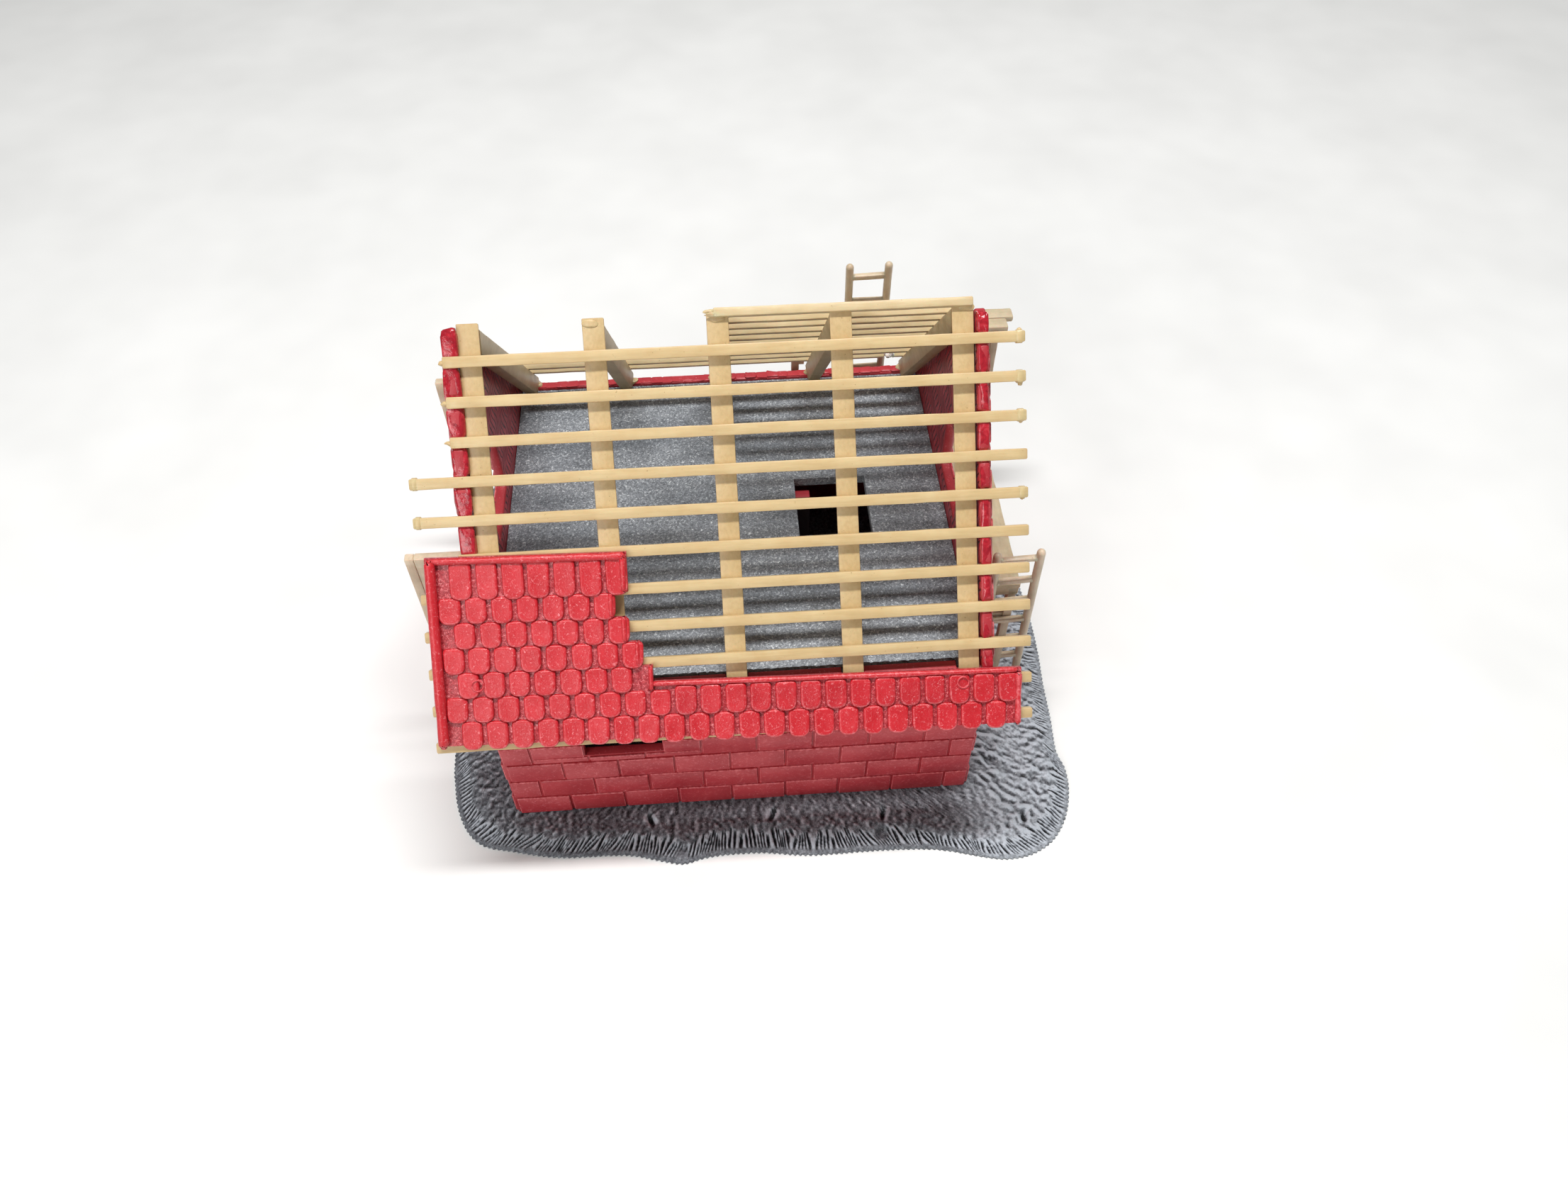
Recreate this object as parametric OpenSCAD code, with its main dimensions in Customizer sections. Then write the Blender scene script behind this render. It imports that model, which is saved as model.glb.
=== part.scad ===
// Small plastic scenery model of a brick house under construction, roof half on.
// Lengths in millimetres. The origin is on the underside of the ground plate, below the
// middle of the house. X runs along the ridge, Y from the front wall to the back, Z up.

/* [House] */
// Distance between two rafters, the module that the whole model follows
bay = 17; // [15:0.5:20]
// Thickness of the ground plate
plate_t = 2; // [1.5:0.1:3]
// Thickness of the brick walls
wall_t = 1.6; // [1.2:0.1:2]
// Height of the upper floor above the ground
storey_h = 33.4; // [32:0.1:35]
// Thickness of the upper floor
floor_t = 1.6; // [1.2:0.1:2]

/* [Roof] */
// Pitch of the front slope in degrees
front_pitch = 50.1; // [49:0.1:51]
// Pitch of the rear slope in degrees
rear_pitch = 47.5; // [47:0.1:48]
// Height of the front rafters' top faces at the ridge, above the ground
front_peak = 74.6; // [74:0.1:76]
// Height of the rear rafters' top faces at the ridge, above the ground
rear_peak = 73.4; // [73:0.1:75]
// Width of a rafter
rafter_w = 3.1; // [2.5:0.1:3.5]
// Depth of a rafter, square to the slope
rafter_d = 2.9; // [2.5:0.1:3.2]
// Distance between two battens, along the slope
batten_pitch = 5.43; // [5.2:0.01:5.6]
// Width of a batten
batten_w = 1.55; // [1.2:0.05:2]
// Thickness of a batten
batten_t = 1.2; // [1:0.05:1.4]
// Distance between two rows of tiles, along the slope
tile_row = 3.6; // [3.4:0.05:3.8]
// Width of one tile with its joint
tile_w = 3.6; // [3.4:0.05:3.8]

/* [Scaffold] */
// Distance between the two rails of a ladder
ladder_w = 6.8; // [6:0.1:8]
// Distance between two rungs
rung_pitch = 5.8; // [5:0.1:6.5]
// Thickness of rails and scaffold posts
pole_d = 1.4; // [1.2:0.1:1.8]
// Height of the walkway beside the right gable, above the ground
side_deck_h = 28; // [24:0.5:32]
// Height of the walkway behind the house, above the ground
rear_deck_h = 41.5; // [39:0.5:44]

/* [Hidden] */
RAFTERS = 5;
BATTENS = 11;
REAR_BATTENS = 10;
house_half = 2.2 * bay;                 // half the length of the house
front_y = 1.96 * bay;                   // outer face of the front wall, forwards
rear_y = 2.07 * bay;                    // outer face of the rear wall, backwards
gable_in = house_half - wall_t;         // inner face of a gable
wall_top = storey_h + 0.4;              // top of the front and rear walls
gable_cut = 4.3 * bay;                  // flat top of the gables
fit = 0.1;                              // play where one piece sits in another
first_batten = 4.45;                    // upper edge of the first batten from the ridge
tail_s = first_batten + (BATTENS - 1) * batten_pitch + batten_w;
rear_batten_pitch = 5.25;                // distance between two battens on the rear slope
rear_lift = 1.6;                        // how far the first one stands over the ridge
rear_batten_left = -0.07 * bay;
rear_batten_right = 2.08 * bay;
tile_left = -2.5 * bay;
tile_right = 2.45 * bay;
tile_turn = 1.15;                       // the sheet was glued on askew by this many degrees
tile_top = 31.7;                        // upper edge of the tile sheet along the slope
tile_bed = 1.2;                         // thickness of the sheet under the tiles
first_row = 5.7;                        // height of the first row, which is taller
tile_lap = 0.9;                         // how far a tile stands over the next row
beam = 2;                               // height of a scaffold beam
plank_t = 1.2;

function rafter_x(k) = (k - (RAFTERS + 1) / 2) * bay;
function batten_s(k) = first_batten + (k - 1) * batten_pitch;
// Four battens were cut back to the left gable, the others stick out past it.
function batten_left(k) = (k <= 3 || k == 6) ? -house_half - 0.6 : -house_half - 6.3;
function batten_right(k) = house_half + 5 + 0.06 * k;
function slope_z(peak, pitch, y) = peak - y * tan(pitch);

// Puts its children on the ground surface, on top of the plate.
module on_ground() translate([0, 0, plate_t]) children();

// Local frame on the front slope: -Y runs down the slope, Z stands square to it.
module front_slope() on_ground() translate([0, 0, front_peak]) rotate([front_pitch, 0, 0]) children();

// Local frame on the rear slope: +Y runs down the slope, Z stands square to it.
module rear_slope() on_ground() translate([0, 0, rear_peak]) rotate([-rear_pitch, 0, 0]) children();

// A box given by its two opposite corners.
module block(lo, hi) translate(lo) cube(hi - lo);

// --- Ground plate -------------------------------------------------------------------

// Points on the rim, anticlockwise from the right side. The rear ones are a guess.
rim = [
    [55.5, 13], [55, 30], [53.5, 44], [49, 50], [40, 51.5], [15, 51], [-15, 51.5], [-38, 51],
    [-45.5, 48.5], [-49, 42], [-50, 20], [-50, 0], [-49.5, -21], [-49, -26], [-48, -31], [-46, -35.5],
    [-43, -38.3], [-38.5, -39.5], [-30.5, -41.2], [-20, -41.5], [-14, -43], [-10.3, -43.8], [-7, -43],
    [-3, -42.6], [3, -42.7], [10.5, -43.7], [21.5, -43.6], [31, -44.1], [38.5, -46], [42.5, -46.7],
    [46.5, -46.2], [50.5, -44], [53.5, -40], [55.2, -35], [55.5, -30.5], [54.7, -27], [55.2, -20],
    [55.4, -13], [56, -5], [56.1, 4]
];
// A smooth curve through four points, for t from 0 to 1 between the middle two.
function curve(a, b, c, d, t) =
    0.5 * (2 * b + (c - a) * t + (2 * a - 5 * b + 4 * c - d) * t * t + (3 * b - a - 3 * c + d) * t * t * t);
function rim_point(i) = rim[(i + len(rim)) % len(rim)];

module ground_plate() color("slategray")
    linear_extrude(plate_t) polygon([for (i = [0 : len(rim) - 1]) for (t = [0, 0.33, 0.67])
        curve(rim_point(i - 1), rim_point(i), rim_point(i + 1), rim_point(i + 2), t)]);

// --- Brick walls --------------------------------------------------------------------

window_w = 0.717 * bay;
window_x = -1.073 * bay;
window_sill = 16.2;
window_h = 11.8;
door_w = 13.5;
door_h = 27;
door_x = -0.5 * bay;
rear_window_x = 1.1 * bay;

module front_wall() color("firebrick") on_ground() difference() {
    block([-house_half, -front_y, 0], [house_half, -front_y + wall_t, wall_top]);
    translate([window_x - window_w / 2, -front_y - 1, window_sill]) cube([window_w, wall_t + 2, window_h]);
    // The rafters' tails pass through notches in the top of the wall.
    for (k = [1 : RAFTERS])
        translate([rafter_x(k) - rafter_w / 2 - fit, -front_y - 1, notch_floor()])
            cube([rafter_w + 2 * fit, wall_t + 2, wall_top]);
}

// Lowest point of a front rafter where it crosses the wall.
function notch_floor() = slope_z(front_peak, front_pitch, front_y) - rafter_d / cos(front_pitch) - fit;

module rear_wall() color("firebrick") on_ground() difference() {
    block([-house_half, rear_y - wall_t, 0], [house_half, rear_y, wall_top]);
    translate([door_x - door_w / 2, rear_y - wall_t - 1, -1]) cube([door_w, wall_t + 2, door_h + 1]);
    translate([rear_window_x - window_w / 2, rear_y - wall_t - 1, window_sill])
        cube([window_w, wall_t + 2, window_h]);
}

loft_window = [0.72 * bay, 0.68 * bay]; // width and height
loft_sill = 2.18 * bay;
side_window_y = -1.15 * bay;
rake_t = 0.9;                           // how far the rake stands over the rafters' tops

// Outline of a gable seen along X: it steps out over the long walls, and the rake is
// cut flat below the ridge.
module gable_outline() {
    front_rake = front_peak + rake_t / cos(front_pitch);
    rear_rake = rear_peak - 0.2;
    polygon([
        [-front_y + wall_t, 0], [-front_y + wall_t, wall_top], [-front_y, wall_top],
        [-front_y, slope_z(front_rake, front_pitch, front_y)],
        [-(front_rake - gable_cut) / tan(front_pitch), gable_cut],
        [(rear_rake - gable_cut) / tan(rear_pitch), gable_cut],
        [rear_y, slope_z(rear_rake, rear_pitch, rear_y)],
        [rear_y, wall_top], [rear_y - wall_t, wall_top], [rear_y - wall_t, 0]
    ]);
}

module gable(x) color("firebrick") difference() {
    on_ground() translate([x, 0, 0]) rotate([90, 0, 90]) linear_extrude(wall_t) difference() {
        gable_outline();
        translate([-loft_window.x / 2, loft_sill]) square(loft_window);
        translate([side_window_y - window_w / 2, window_sill]) square([window_w, window_h]);
    }
    // The battens lie in notches in the rake.
    front_slope() for (k = [1 : BATTENS])
        block([x - 1, -batten_s(k) - batten_w - fit, -0.05], [x + wall_t + 1, -batten_s(k) + fit, 3]);
}

module left_gable() gable(-house_half);
module right_gable() gable(gable_in);

// --- Upper floor, inner wall and stair ------------------------------------------------

stair_lo = [0.67 * bay, -0.30 * bay];
stair_hi = [1.37 * bay, 0.46 * bay];

module upper_floor() color("dimgray") on_ground() difference() {
    block([-gable_in + fit, -front_y + wall_t + fit, storey_h - floor_t],
          [gable_in - fit, rear_y - wall_t - fit, storey_h]);
    block([stair_lo.x, stair_lo.y, 0], [stair_hi.x, stair_hi.y, storey_h + 1]);
}

inner_wall_y = 0.30 * bay;
module inner_wall() color("firebrick") on_ground()
    block([-gable_in + fit, inner_wall_y, 0], [0.82 * bay, inner_wall_y + wall_t, storey_h - floor_t]);

STEPS = 7;
step_run = 2.6;
step_rise = (storey_h - floor_t) / STEPS;
stair_w = 0.38 * bay;
// Outline of the stair seen along X: it climbs towards the front and is solid below its steps.
module stair_outline() polygon(concat(
    [[0, 0]],
    [for (k = [0 : STEPS - 1]) each [[-k * step_run, (k + 1) * step_rise], [-(k + 1) * step_run, (k + 1) * step_rise]]],
    [[-STEPS * step_run, (STEPS - 1) * step_rise], [-step_run, 0]]));
module stair_flight() color("dimgray") on_ground()
    translate([stair_hi.x - stair_w - fit, stair_hi.y - fit, 0]) rotate([90, 0, 90])
        linear_extrude(stair_w) stair_outline();

// --- Rafters and battens --------------------------------------------------------------

module front_rafter(k) color("burlywood") difference() {
    front_slope() block([rafter_x(k) - rafter_w / 2, -tail_s, -rafter_d], [rafter_x(k) + rafter_w / 2, 6, 0]);
    // Plumb cut at the ridge and a seat on the upper floor.
    on_ground() block([-3 * bay, -0.05, 0], [3 * bay, 2 * bay, 6 * bay]);
    on_ground() block([-3 * bay, -front_y + wall_t, 0], [3 * bay, 0, storey_h]);
    // A notch for the batten over the ridge.
    rear_batten(1);
}

module rear_rafter(k) color("burlywood") difference() {
    rear_slope() block([rafter_x(k) - rafter_w / 2, -6, -rafter_d],
                       [rafter_x(k) + rafter_w / 2, (rear_y + 4.5) / cos(rear_pitch), 0]);
    // Plumb cut at the ridge and a seat on the rear wall.
    on_ground() block([-3 * bay, -2 * bay, 0], [3 * bay, 0.05, 6 * bay]);
    on_ground() block([-3 * bay, 0, 0], [3 * bay, rear_y + fit, wall_top]);
}

module batten(k) color("burlywood") front_slope()
    block([batten_left(k), -batten_s(k) - batten_w, 0], [batten_right(k), -batten_s(k), batten_t]);

// Battens lie on the right half of the rear slope, and the first stands over the ridge. The
// last two run on to the left gable, and the lowest one has a joint near its end.
module rear_strip(k, from, to) color("burlywood") rear_slope() let (s = (k - 1) * rear_batten_pitch - rear_lift)
    block([from, s, 0], [to, s + batten_w, batten_t]);
module rear_batten(k) rear_strip(k, k < 9 ? rear_batten_left : -2.02 * bay, k < 10 ? rear_batten_right : 1.72 * bay);
module rear_batten_10_offcut() rear_strip(10, 1.82 * bay, rear_batten_right);

// --- Tile sheet -----------------------------------------------------------------------

// Rows 1 to 5 cover the left part and step down to the right; rows 6 and 7 run through.
// The first row, and the part of row 6 that starts the long strip, are taller than the rest.
function row_end(r) = r > 5 ? tile_right : r == 1 ? -0.855 * bay : -1.08 * bay + 0.1 * bay * (r - 1);
function row_low(r) = tile_top + first_row + (r - 1) * tile_row;
module tile_sheet() color("crimson") front_slope()
    translate([tile_left, -tile_top, 0]) rotate([0, 0, -tile_turn]) translate([-tile_left, tile_top, 0]) {
    for (r = [1 : 7]) {
        top = r == 1 ? tile_top : row_low(r - 1);
        block([tile_left, -row_low(r), batten_t], [row_end(r), -top, batten_t + tile_bed]);
        // Each tile laps over the next row.
        block([tile_left, -row_low(r) - 0.5, batten_t + 0.6],
              [row_end(r), -top + 0.01, batten_t + tile_bed + tile_lap]);
    }
    block([-1 * bay, -row_low(6), batten_t], [tile_right, -row_low(5) + 1.2, batten_t + tile_bed + tile_lap]);
    // A rounded verge runs down the left edge.
    translate([tile_left + 0.85, -row_low(7), batten_t + 1.2]) rotate([-90, 0, 0])
        cylinder(d = 1.7, h = row_low(7) - tile_top, $fn = 32);
}

// --- Ladders --------------------------------------------------------------------------

// A ladder standing on its foot: round rails with round tops, and flat rungs.
module ladder(length, top_gap) color("tan") {
    for (side = [-1, 1]) translate([side * ladder_w / 2, 0, 0]) {
        cylinder(d = pole_d, h = length - pole_d / 2, $fn = 24);
        translate([0, 0, length - pole_d / 2]) sphere(d = pole_d, $fn = 24);
    }
    for (z = [length - top_gap : -rung_pitch : 3])
        block([-ladder_w / 2, -0.45, z - 0.55], [ladder_w / 2, 0.45, z + 0.55]);
}

module side_ladder() translate([2.748 * bay, -0.679 * bay, plate_t + 0.05]) rotate([5.3, -3, 0]) ladder(38.3, 2);
module rear_ladder() translate([1.646 * bay, 2.787 * bay, plate_t + 0.08]) rotate([8.1, -1.1, 0]) ladder(53.6, 3);

// --- Walkway beside the right gable ---------------------------------------------------

side_deck_x = [house_half + 0.5, 2.753 * bay];
side_deck_y = [-13.2, 28];
side_plank_w = (side_deck_x[1] - side_deck_x[0] - 0.3) / 2;
module side_deck_plank(x) color("tan") on_ground()
    block([x, side_deck_y[0], side_deck_h - plank_t], [x + side_plank_w, side_deck_y[1], side_deck_h]);
module side_deck_inner_plank() side_deck_plank(side_deck_x[0]);
module side_deck_outer_plank() side_deck_plank(side_deck_x[1] - side_plank_w);

// Two legs joined by a beam under the planks and by a lower rail.
module trestle(y) color("tan") on_ground() {
    legs = [side_deck_x[0] + 1, side_deck_x[1] - 1];
    top = side_deck_h - plank_t;
    for (x = legs) block([x - pole_d / 2, y, 0], [x + pole_d / 2, y + pole_d, top - 0.01]);
    block([side_deck_x[0], y, top - beam], [side_deck_x[1], y + pole_d, top]);
    block([legs[0], y + 0.2, top - 8.5], [legs[1], y + pole_d - 0.2, top - 7]);
}
module side_deck_front_trestle() trestle(side_deck_y[0] + 0.4);
module side_deck_rear_trestle() trestle(side_deck_y[1] - 4);

// --- Walkway behind the house ---------------------------------------------------------

rear_deck_y = 2.04 * bay + 3.4;         // middle of the walkway
rear_post_x = [0.82 * bay, 2.98 * bay];
rear_plank_w = 2.6;
module rear_deck_plank(y, x_end) color("tan") on_ground()
    block([0.6 * bay, y, rear_deck_h - plank_t], [x_end, y + rear_plank_w, rear_deck_h]);
module rear_deck_near_plank() rear_deck_plank(rear_deck_y - 0.1 - rear_plank_w, 3.07 * bay);
module rear_deck_far_plank() rear_deck_plank(rear_deck_y + 0.1, 3.155 * bay);

// Beam under the planks with an arched bracket at each end.
module rear_deck_ledger() color("tan") on_ground() {
    top = rear_deck_h - plank_t;
    reach = 5;
    block([0.66 * bay, rear_deck_y - pole_d / 2, top - beam], [3.07 * bay, rear_deck_y + pole_d / 2, top]);
    for (end = [[rear_post_x[0] + pole_d / 2, 1], [rear_post_x[1] - pole_d / 2, -1]])
        translate([end[0], rear_deck_y + 0.5, top - beam]) mirror([end[1] < 0 ? 1 : 0, 0, 0])
            rotate([90, 0, 0]) linear_extrude(1) difference() {
                translate([0.02, -reach]) square([reach, reach + 0.01]);
                translate([reach + 0.02, -reach]) circle(r = reach - 0.9, $fn = 48);
                translate([0.92, -2 * reach]) square([2 * reach, reach]);
            }
}
module rear_deck_post(x) color("tan") on_ground()
    block([x - pole_d / 2, rear_deck_y - pole_d / 2, 0],
          [x + pole_d / 2, rear_deck_y + pole_d / 2, rear_deck_h - plank_t - beam]);
module rear_deck_left_post() rear_deck_post(rear_post_x[0]);
module rear_deck_right_post() rear_deck_post(rear_post_x[1]);

// --- Bearers left of the house, with no planks on them yet ------------------------------

left_post_x = -2.85 * bay;
left_top = 2.4 * bay;
left_bearer_y = [-0.69 * bay, 1.69 * bay];
module left_post(y) color("tan") on_ground()
    block([left_post_x - pole_d / 2, y - pole_d / 2, 0], [left_post_x + pole_d / 2, y + pole_d / 2, left_top]);
// The bearer runs from the post to the gable, with a strut below it.
module left_bearer(y) color("tan") on_ground() {
    post_face = left_post_x + pole_d / 2;
    block([post_face, y - pole_d / 2, left_top - beam], [-house_half, y + pole_d / 2, left_top]);
    translate([post_face, y + 0.5, left_top - beam]) rotate([90, 0, 0]) linear_extrude(1)
        polygon([[0, 0.01], [0, -6.5], [0, -8], [5.5, -1], [5.5, 0.01], [4.4, 0.01]]);
}
module left_front_post() left_post(left_bearer_y[0]);
module left_rear_post() left_post(left_bearer_y[1]);
module left_front_bearer() left_bearer(left_bearer_y[0]);
module left_rear_bearer() left_bearer(left_bearer_y[1]);

ground_plate();
front_wall();
rear_wall();
left_gable();
right_gable();
upper_floor();
inner_wall();
stair_flight();
for (k = [1 : RAFTERS]) front_rafter(k);
for (k = [1 : RAFTERS]) rear_rafter(k);
for (k = [1 : BATTENS]) batten(k);
for (k = [1 : REAR_BATTENS]) rear_batten(k);
rear_batten_10_offcut();
tile_sheet();
side_deck_inner_plank();
side_deck_outer_plank();
side_deck_front_trestle();
side_deck_rear_trestle();
side_ladder();
rear_deck_near_plank();
rear_deck_far_plank();
rear_deck_ledger();
rear_deck_right_post();
rear_deck_left_post();
rear_ladder();
left_front_post();
left_front_bearer();
left_rear_post();
left_rear_bearer();
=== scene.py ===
import math

import bmesh
import bpy
import numpy as np
from mathutils import Matrix, Vector


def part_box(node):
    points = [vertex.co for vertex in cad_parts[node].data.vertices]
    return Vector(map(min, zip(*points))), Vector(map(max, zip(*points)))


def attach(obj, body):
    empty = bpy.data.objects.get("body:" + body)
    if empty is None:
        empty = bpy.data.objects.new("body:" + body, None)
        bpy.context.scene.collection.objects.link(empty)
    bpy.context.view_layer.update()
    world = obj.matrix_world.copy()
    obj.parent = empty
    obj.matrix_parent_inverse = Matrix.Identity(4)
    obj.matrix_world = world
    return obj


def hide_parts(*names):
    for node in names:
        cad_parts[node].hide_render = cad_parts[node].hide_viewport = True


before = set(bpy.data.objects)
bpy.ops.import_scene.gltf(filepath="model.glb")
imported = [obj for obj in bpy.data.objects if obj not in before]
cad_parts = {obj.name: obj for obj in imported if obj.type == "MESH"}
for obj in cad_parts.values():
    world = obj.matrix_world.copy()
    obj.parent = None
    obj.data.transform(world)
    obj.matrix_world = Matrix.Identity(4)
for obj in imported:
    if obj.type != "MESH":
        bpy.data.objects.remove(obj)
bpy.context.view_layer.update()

# ==== Ground plate ====================================================================
# A single moulding in dark blue-grey plastic: a flat middle under the house, a bank that
# falls to the table all round, grass strokes pressed into the bank and a stony patch on
# the right. A thin dark wash lies in its hollows. Everything else is glued on top of it.

mm = 0.001
plate_low, plate_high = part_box("ground_plate")
ground = plate_high.z
plate_middle = (plate_low + plate_high) / 2


def paint(red, green, blue):
    """A colour as on a screen, 0 to 255, turned into the linear numbers that a shader takes."""
    parts = [value / 255 for value in (red, green, blue)]
    return (*[p / 12.92 if p < 0.04 else ((p + 0.055) / 1.055) ** 2.4 for p in parts], 1)


def rough(points, size, seed):
    """Smooth random values from -1 to 1, one for each point, that change over a distance of size."""
    cell = np.asarray(points, float) / size
    low = np.floor(cell)
    blend = cell - low
    blend = blend * blend * (3 - 2 * blend)
    stir = np.array([12.9898, 78.233, 37.719])[:cell.shape[1]]
    total = np.zeros(len(cell))
    for corner in np.ndindex(*(2,) * cell.shape[1]):
        where = low + corner
        stirred = np.sin(where @ stir + seed * 4.137) * 43758.5453
        weight = np.prod(np.where(np.array(corner) == 1, blend, 1 - blend), axis=1)
        total += weight * (stirred - np.floor(stirred))
    return total * 2 - 1


def new_piece(name, verts, faces, *materials, crease=40):
    """Makes a piece from its points and faces, with its faces turned outwards."""
    mesh = bpy.data.meshes.new(name)
    mesh.from_pydata([tuple(v) for v in verts], [], faces)
    shell = bmesh.new()
    shell.from_mesh(mesh)
    bmesh.ops.recalc_face_normals(shell, faces=shell.faces)
    shell.to_mesh(mesh)
    shell.free()
    for material in materials:
        mesh.materials.append(material)
    mesh.shade_smooth()
    mesh.set_sharp_from_angle(angle=math.radians(crease))
    piece = bpy.data.objects.new(name, mesh)
    bpy.context.scene.collection.objects.link(piece)
    return piece


def add_node(tree, kind, wires=None, **settings):
    """Adds a shader node: wires gives its inputs, as numbers or as other nodes' outputs."""
    made = tree.nodes.new(kind)
    for key, value in settings.items():
        setattr(made, key, value)
    for key, value in (wires or {}).items():
        if isinstance(value, bpy.types.NodeSocket):
            tree.links.new(value, made.inputs[key])
        else:
            made.inputs[key].default_value = value
    return made


def moulded_plastic(name, roughness, glow=0.0, gloss=0.5):
    """A plain plastic to which a finish is added: its material, node tree, shader and position."""
    material = bpy.data.materials.new(name)
    material.use_nodes = True
    tree = material.node_tree
    shader = tree.nodes["Principled BSDF"]
    shader.inputs["Roughness"].default_value = roughness
    shader.inputs["Specular IOR Level"].default_value = gloss
    shader.inputs["Subsurface Weight"].default_value = glow
    shader.inputs["Subsurface Scale"].default_value = 0.8 * mm
    place = add_node(tree, "ShaderNodeTexCoord").outputs["Object"]
    return material, tree, shader, place


def speckle(tree, place, size, detail=3, stretch=(1, 1, 1), warp=0.0):
    """Cloudy noise on the piece's own coordinates, with spots of about that size."""
    spread = add_node(tree, "ShaderNodeMapping", {"Vector": place, "Scale": stretch})
    return add_node(tree, "ShaderNodeTexNoise", {
        "Vector": spread.outputs["Vector"], "Scale": 1 / size, "Detail": detail, "Roughness": 0.6,
        "Distortion": warp}).outputs["Fac"]


def shades(tree, amount, *stops):
    """Colours along a ramp: stops are pairs of a place on the ramp and a colour."""
    ramp = add_node(tree, "ShaderNodeValToRGB", {"Fac": amount})
    while len(ramp.color_ramp.elements) < len(stops):
        ramp.color_ramp.elements.new(0.5)
    for element, (at, colour) in zip(ramp.color_ramp.elements, stops):
        element.position = at
        element.color = colour
    return ramp.outputs["Color"]


def mixed(tree, amount, first, second, way="MIX"):
    """Two colours mixed by an amount."""
    mix = add_node(tree, "ShaderNodeMix", {0: amount}, data_type="RGBA", blend_type=way)
    for socket, colour in ((mix.inputs[6], first), (mix.inputs[7], second)):
        if isinstance(colour, bpy.types.NodeSocket):
            tree.links.new(colour, socket)
        else:
            socket.default_value = colour
    return mix.outputs[2]


def press_in(tree, shader, height, depth, strength=0.6):
    """Fine relief on a shader, from a height pattern."""
    relief = add_node(tree, "ShaderNodeBump", {"Height": height, "Distance": depth, "Strength": strength})
    tree.links.new(relief.outputs["Normal"], shader.inputs["Normal"])


def stored(tree, name):
    """A value that the piece's points carry."""
    return add_node(tree, "ShaderNodeAttribute", attribute_name=name).outputs["Fac"]


def reckoned(tree, way, first, second):
    """Two numbers, or patterns of numbers, added, multiplied or folded to and fro."""
    return add_node(tree, "ShaderNodeMath", {0: first, 1: second}, operation=way).outputs[0]


def mask(tree, amount, black_to, white_from):
    """Black up to one place on the ramp and white from another."""
    return shades(tree, amount, (black_to, (0, 0, 0, 1)), (white_from, (1, 1, 1, 1)))


bank_w = 4.4 * mm
stroke_pitch = 0.66 * mm
corners = np.array([v.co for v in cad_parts["ground_plate"].data.vertices])
corners = corners[corners[:, 2] > ground - 0.1 * mm] - np.array(plate_middle)
rim_turn = np.arctan2(corners[:, 1], corners[:, 0])
rim_reach = np.hypot(corners[:, 0], corners[:, 1])
turn_order = np.argsort(rim_turn)
# Spots on the rim lie close together in front and at the sides, and further apart behind.
turns = np.linspace(-math.pi, math.pi, 6000, endpoint=False)
reach = np.interp(turns, rim_turn[turn_order], rim_reach[turn_order], period=2 * math.pi)
rim = np.array([np.cos(turns) * reach, np.sin(turns) * reach])
steps = np.hypot(*(np.roll(rim, -1, axis=1) - rim))
steps *= np.where(rim[1] > 14 * mm, 0.3, 1)
rim_spots = 1560
evenly = np.linspace(0, steps.sum(), rim_spots, endpoint=False)
turns = np.interp(evenly, np.cumsum(steps) - steps, turns)
reach = np.interp(turns, rim_turn[turn_order], rim_reach[turn_order], period=2 * math.pi)
rim = np.array([np.cos(turns) * reach, np.sin(turns) * reach])
walked = np.cumsum(np.hypot(*(np.roll(rim, -1, axis=1) - rim)))
slits = ((-15.6, -36.2, 0.5), (4.7, -36.7, -0.5), (23, -37.8, -0.3), (46.3, -40, -0.35))
mound_x = 42.0 * mm
mound_y = -28 * mm
mould_tabs = ((-10.6, -42.4), (22.4, -41.6))
ring_shares = np.concatenate([[0.25, 0.45, 0.57], np.linspace(0.62, 0.86, 20), np.linspace(0.868, 1, 34)])
plate_verts = [(plate_middle.x, plate_middle.y, ground)]
plate_rows = []
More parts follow.
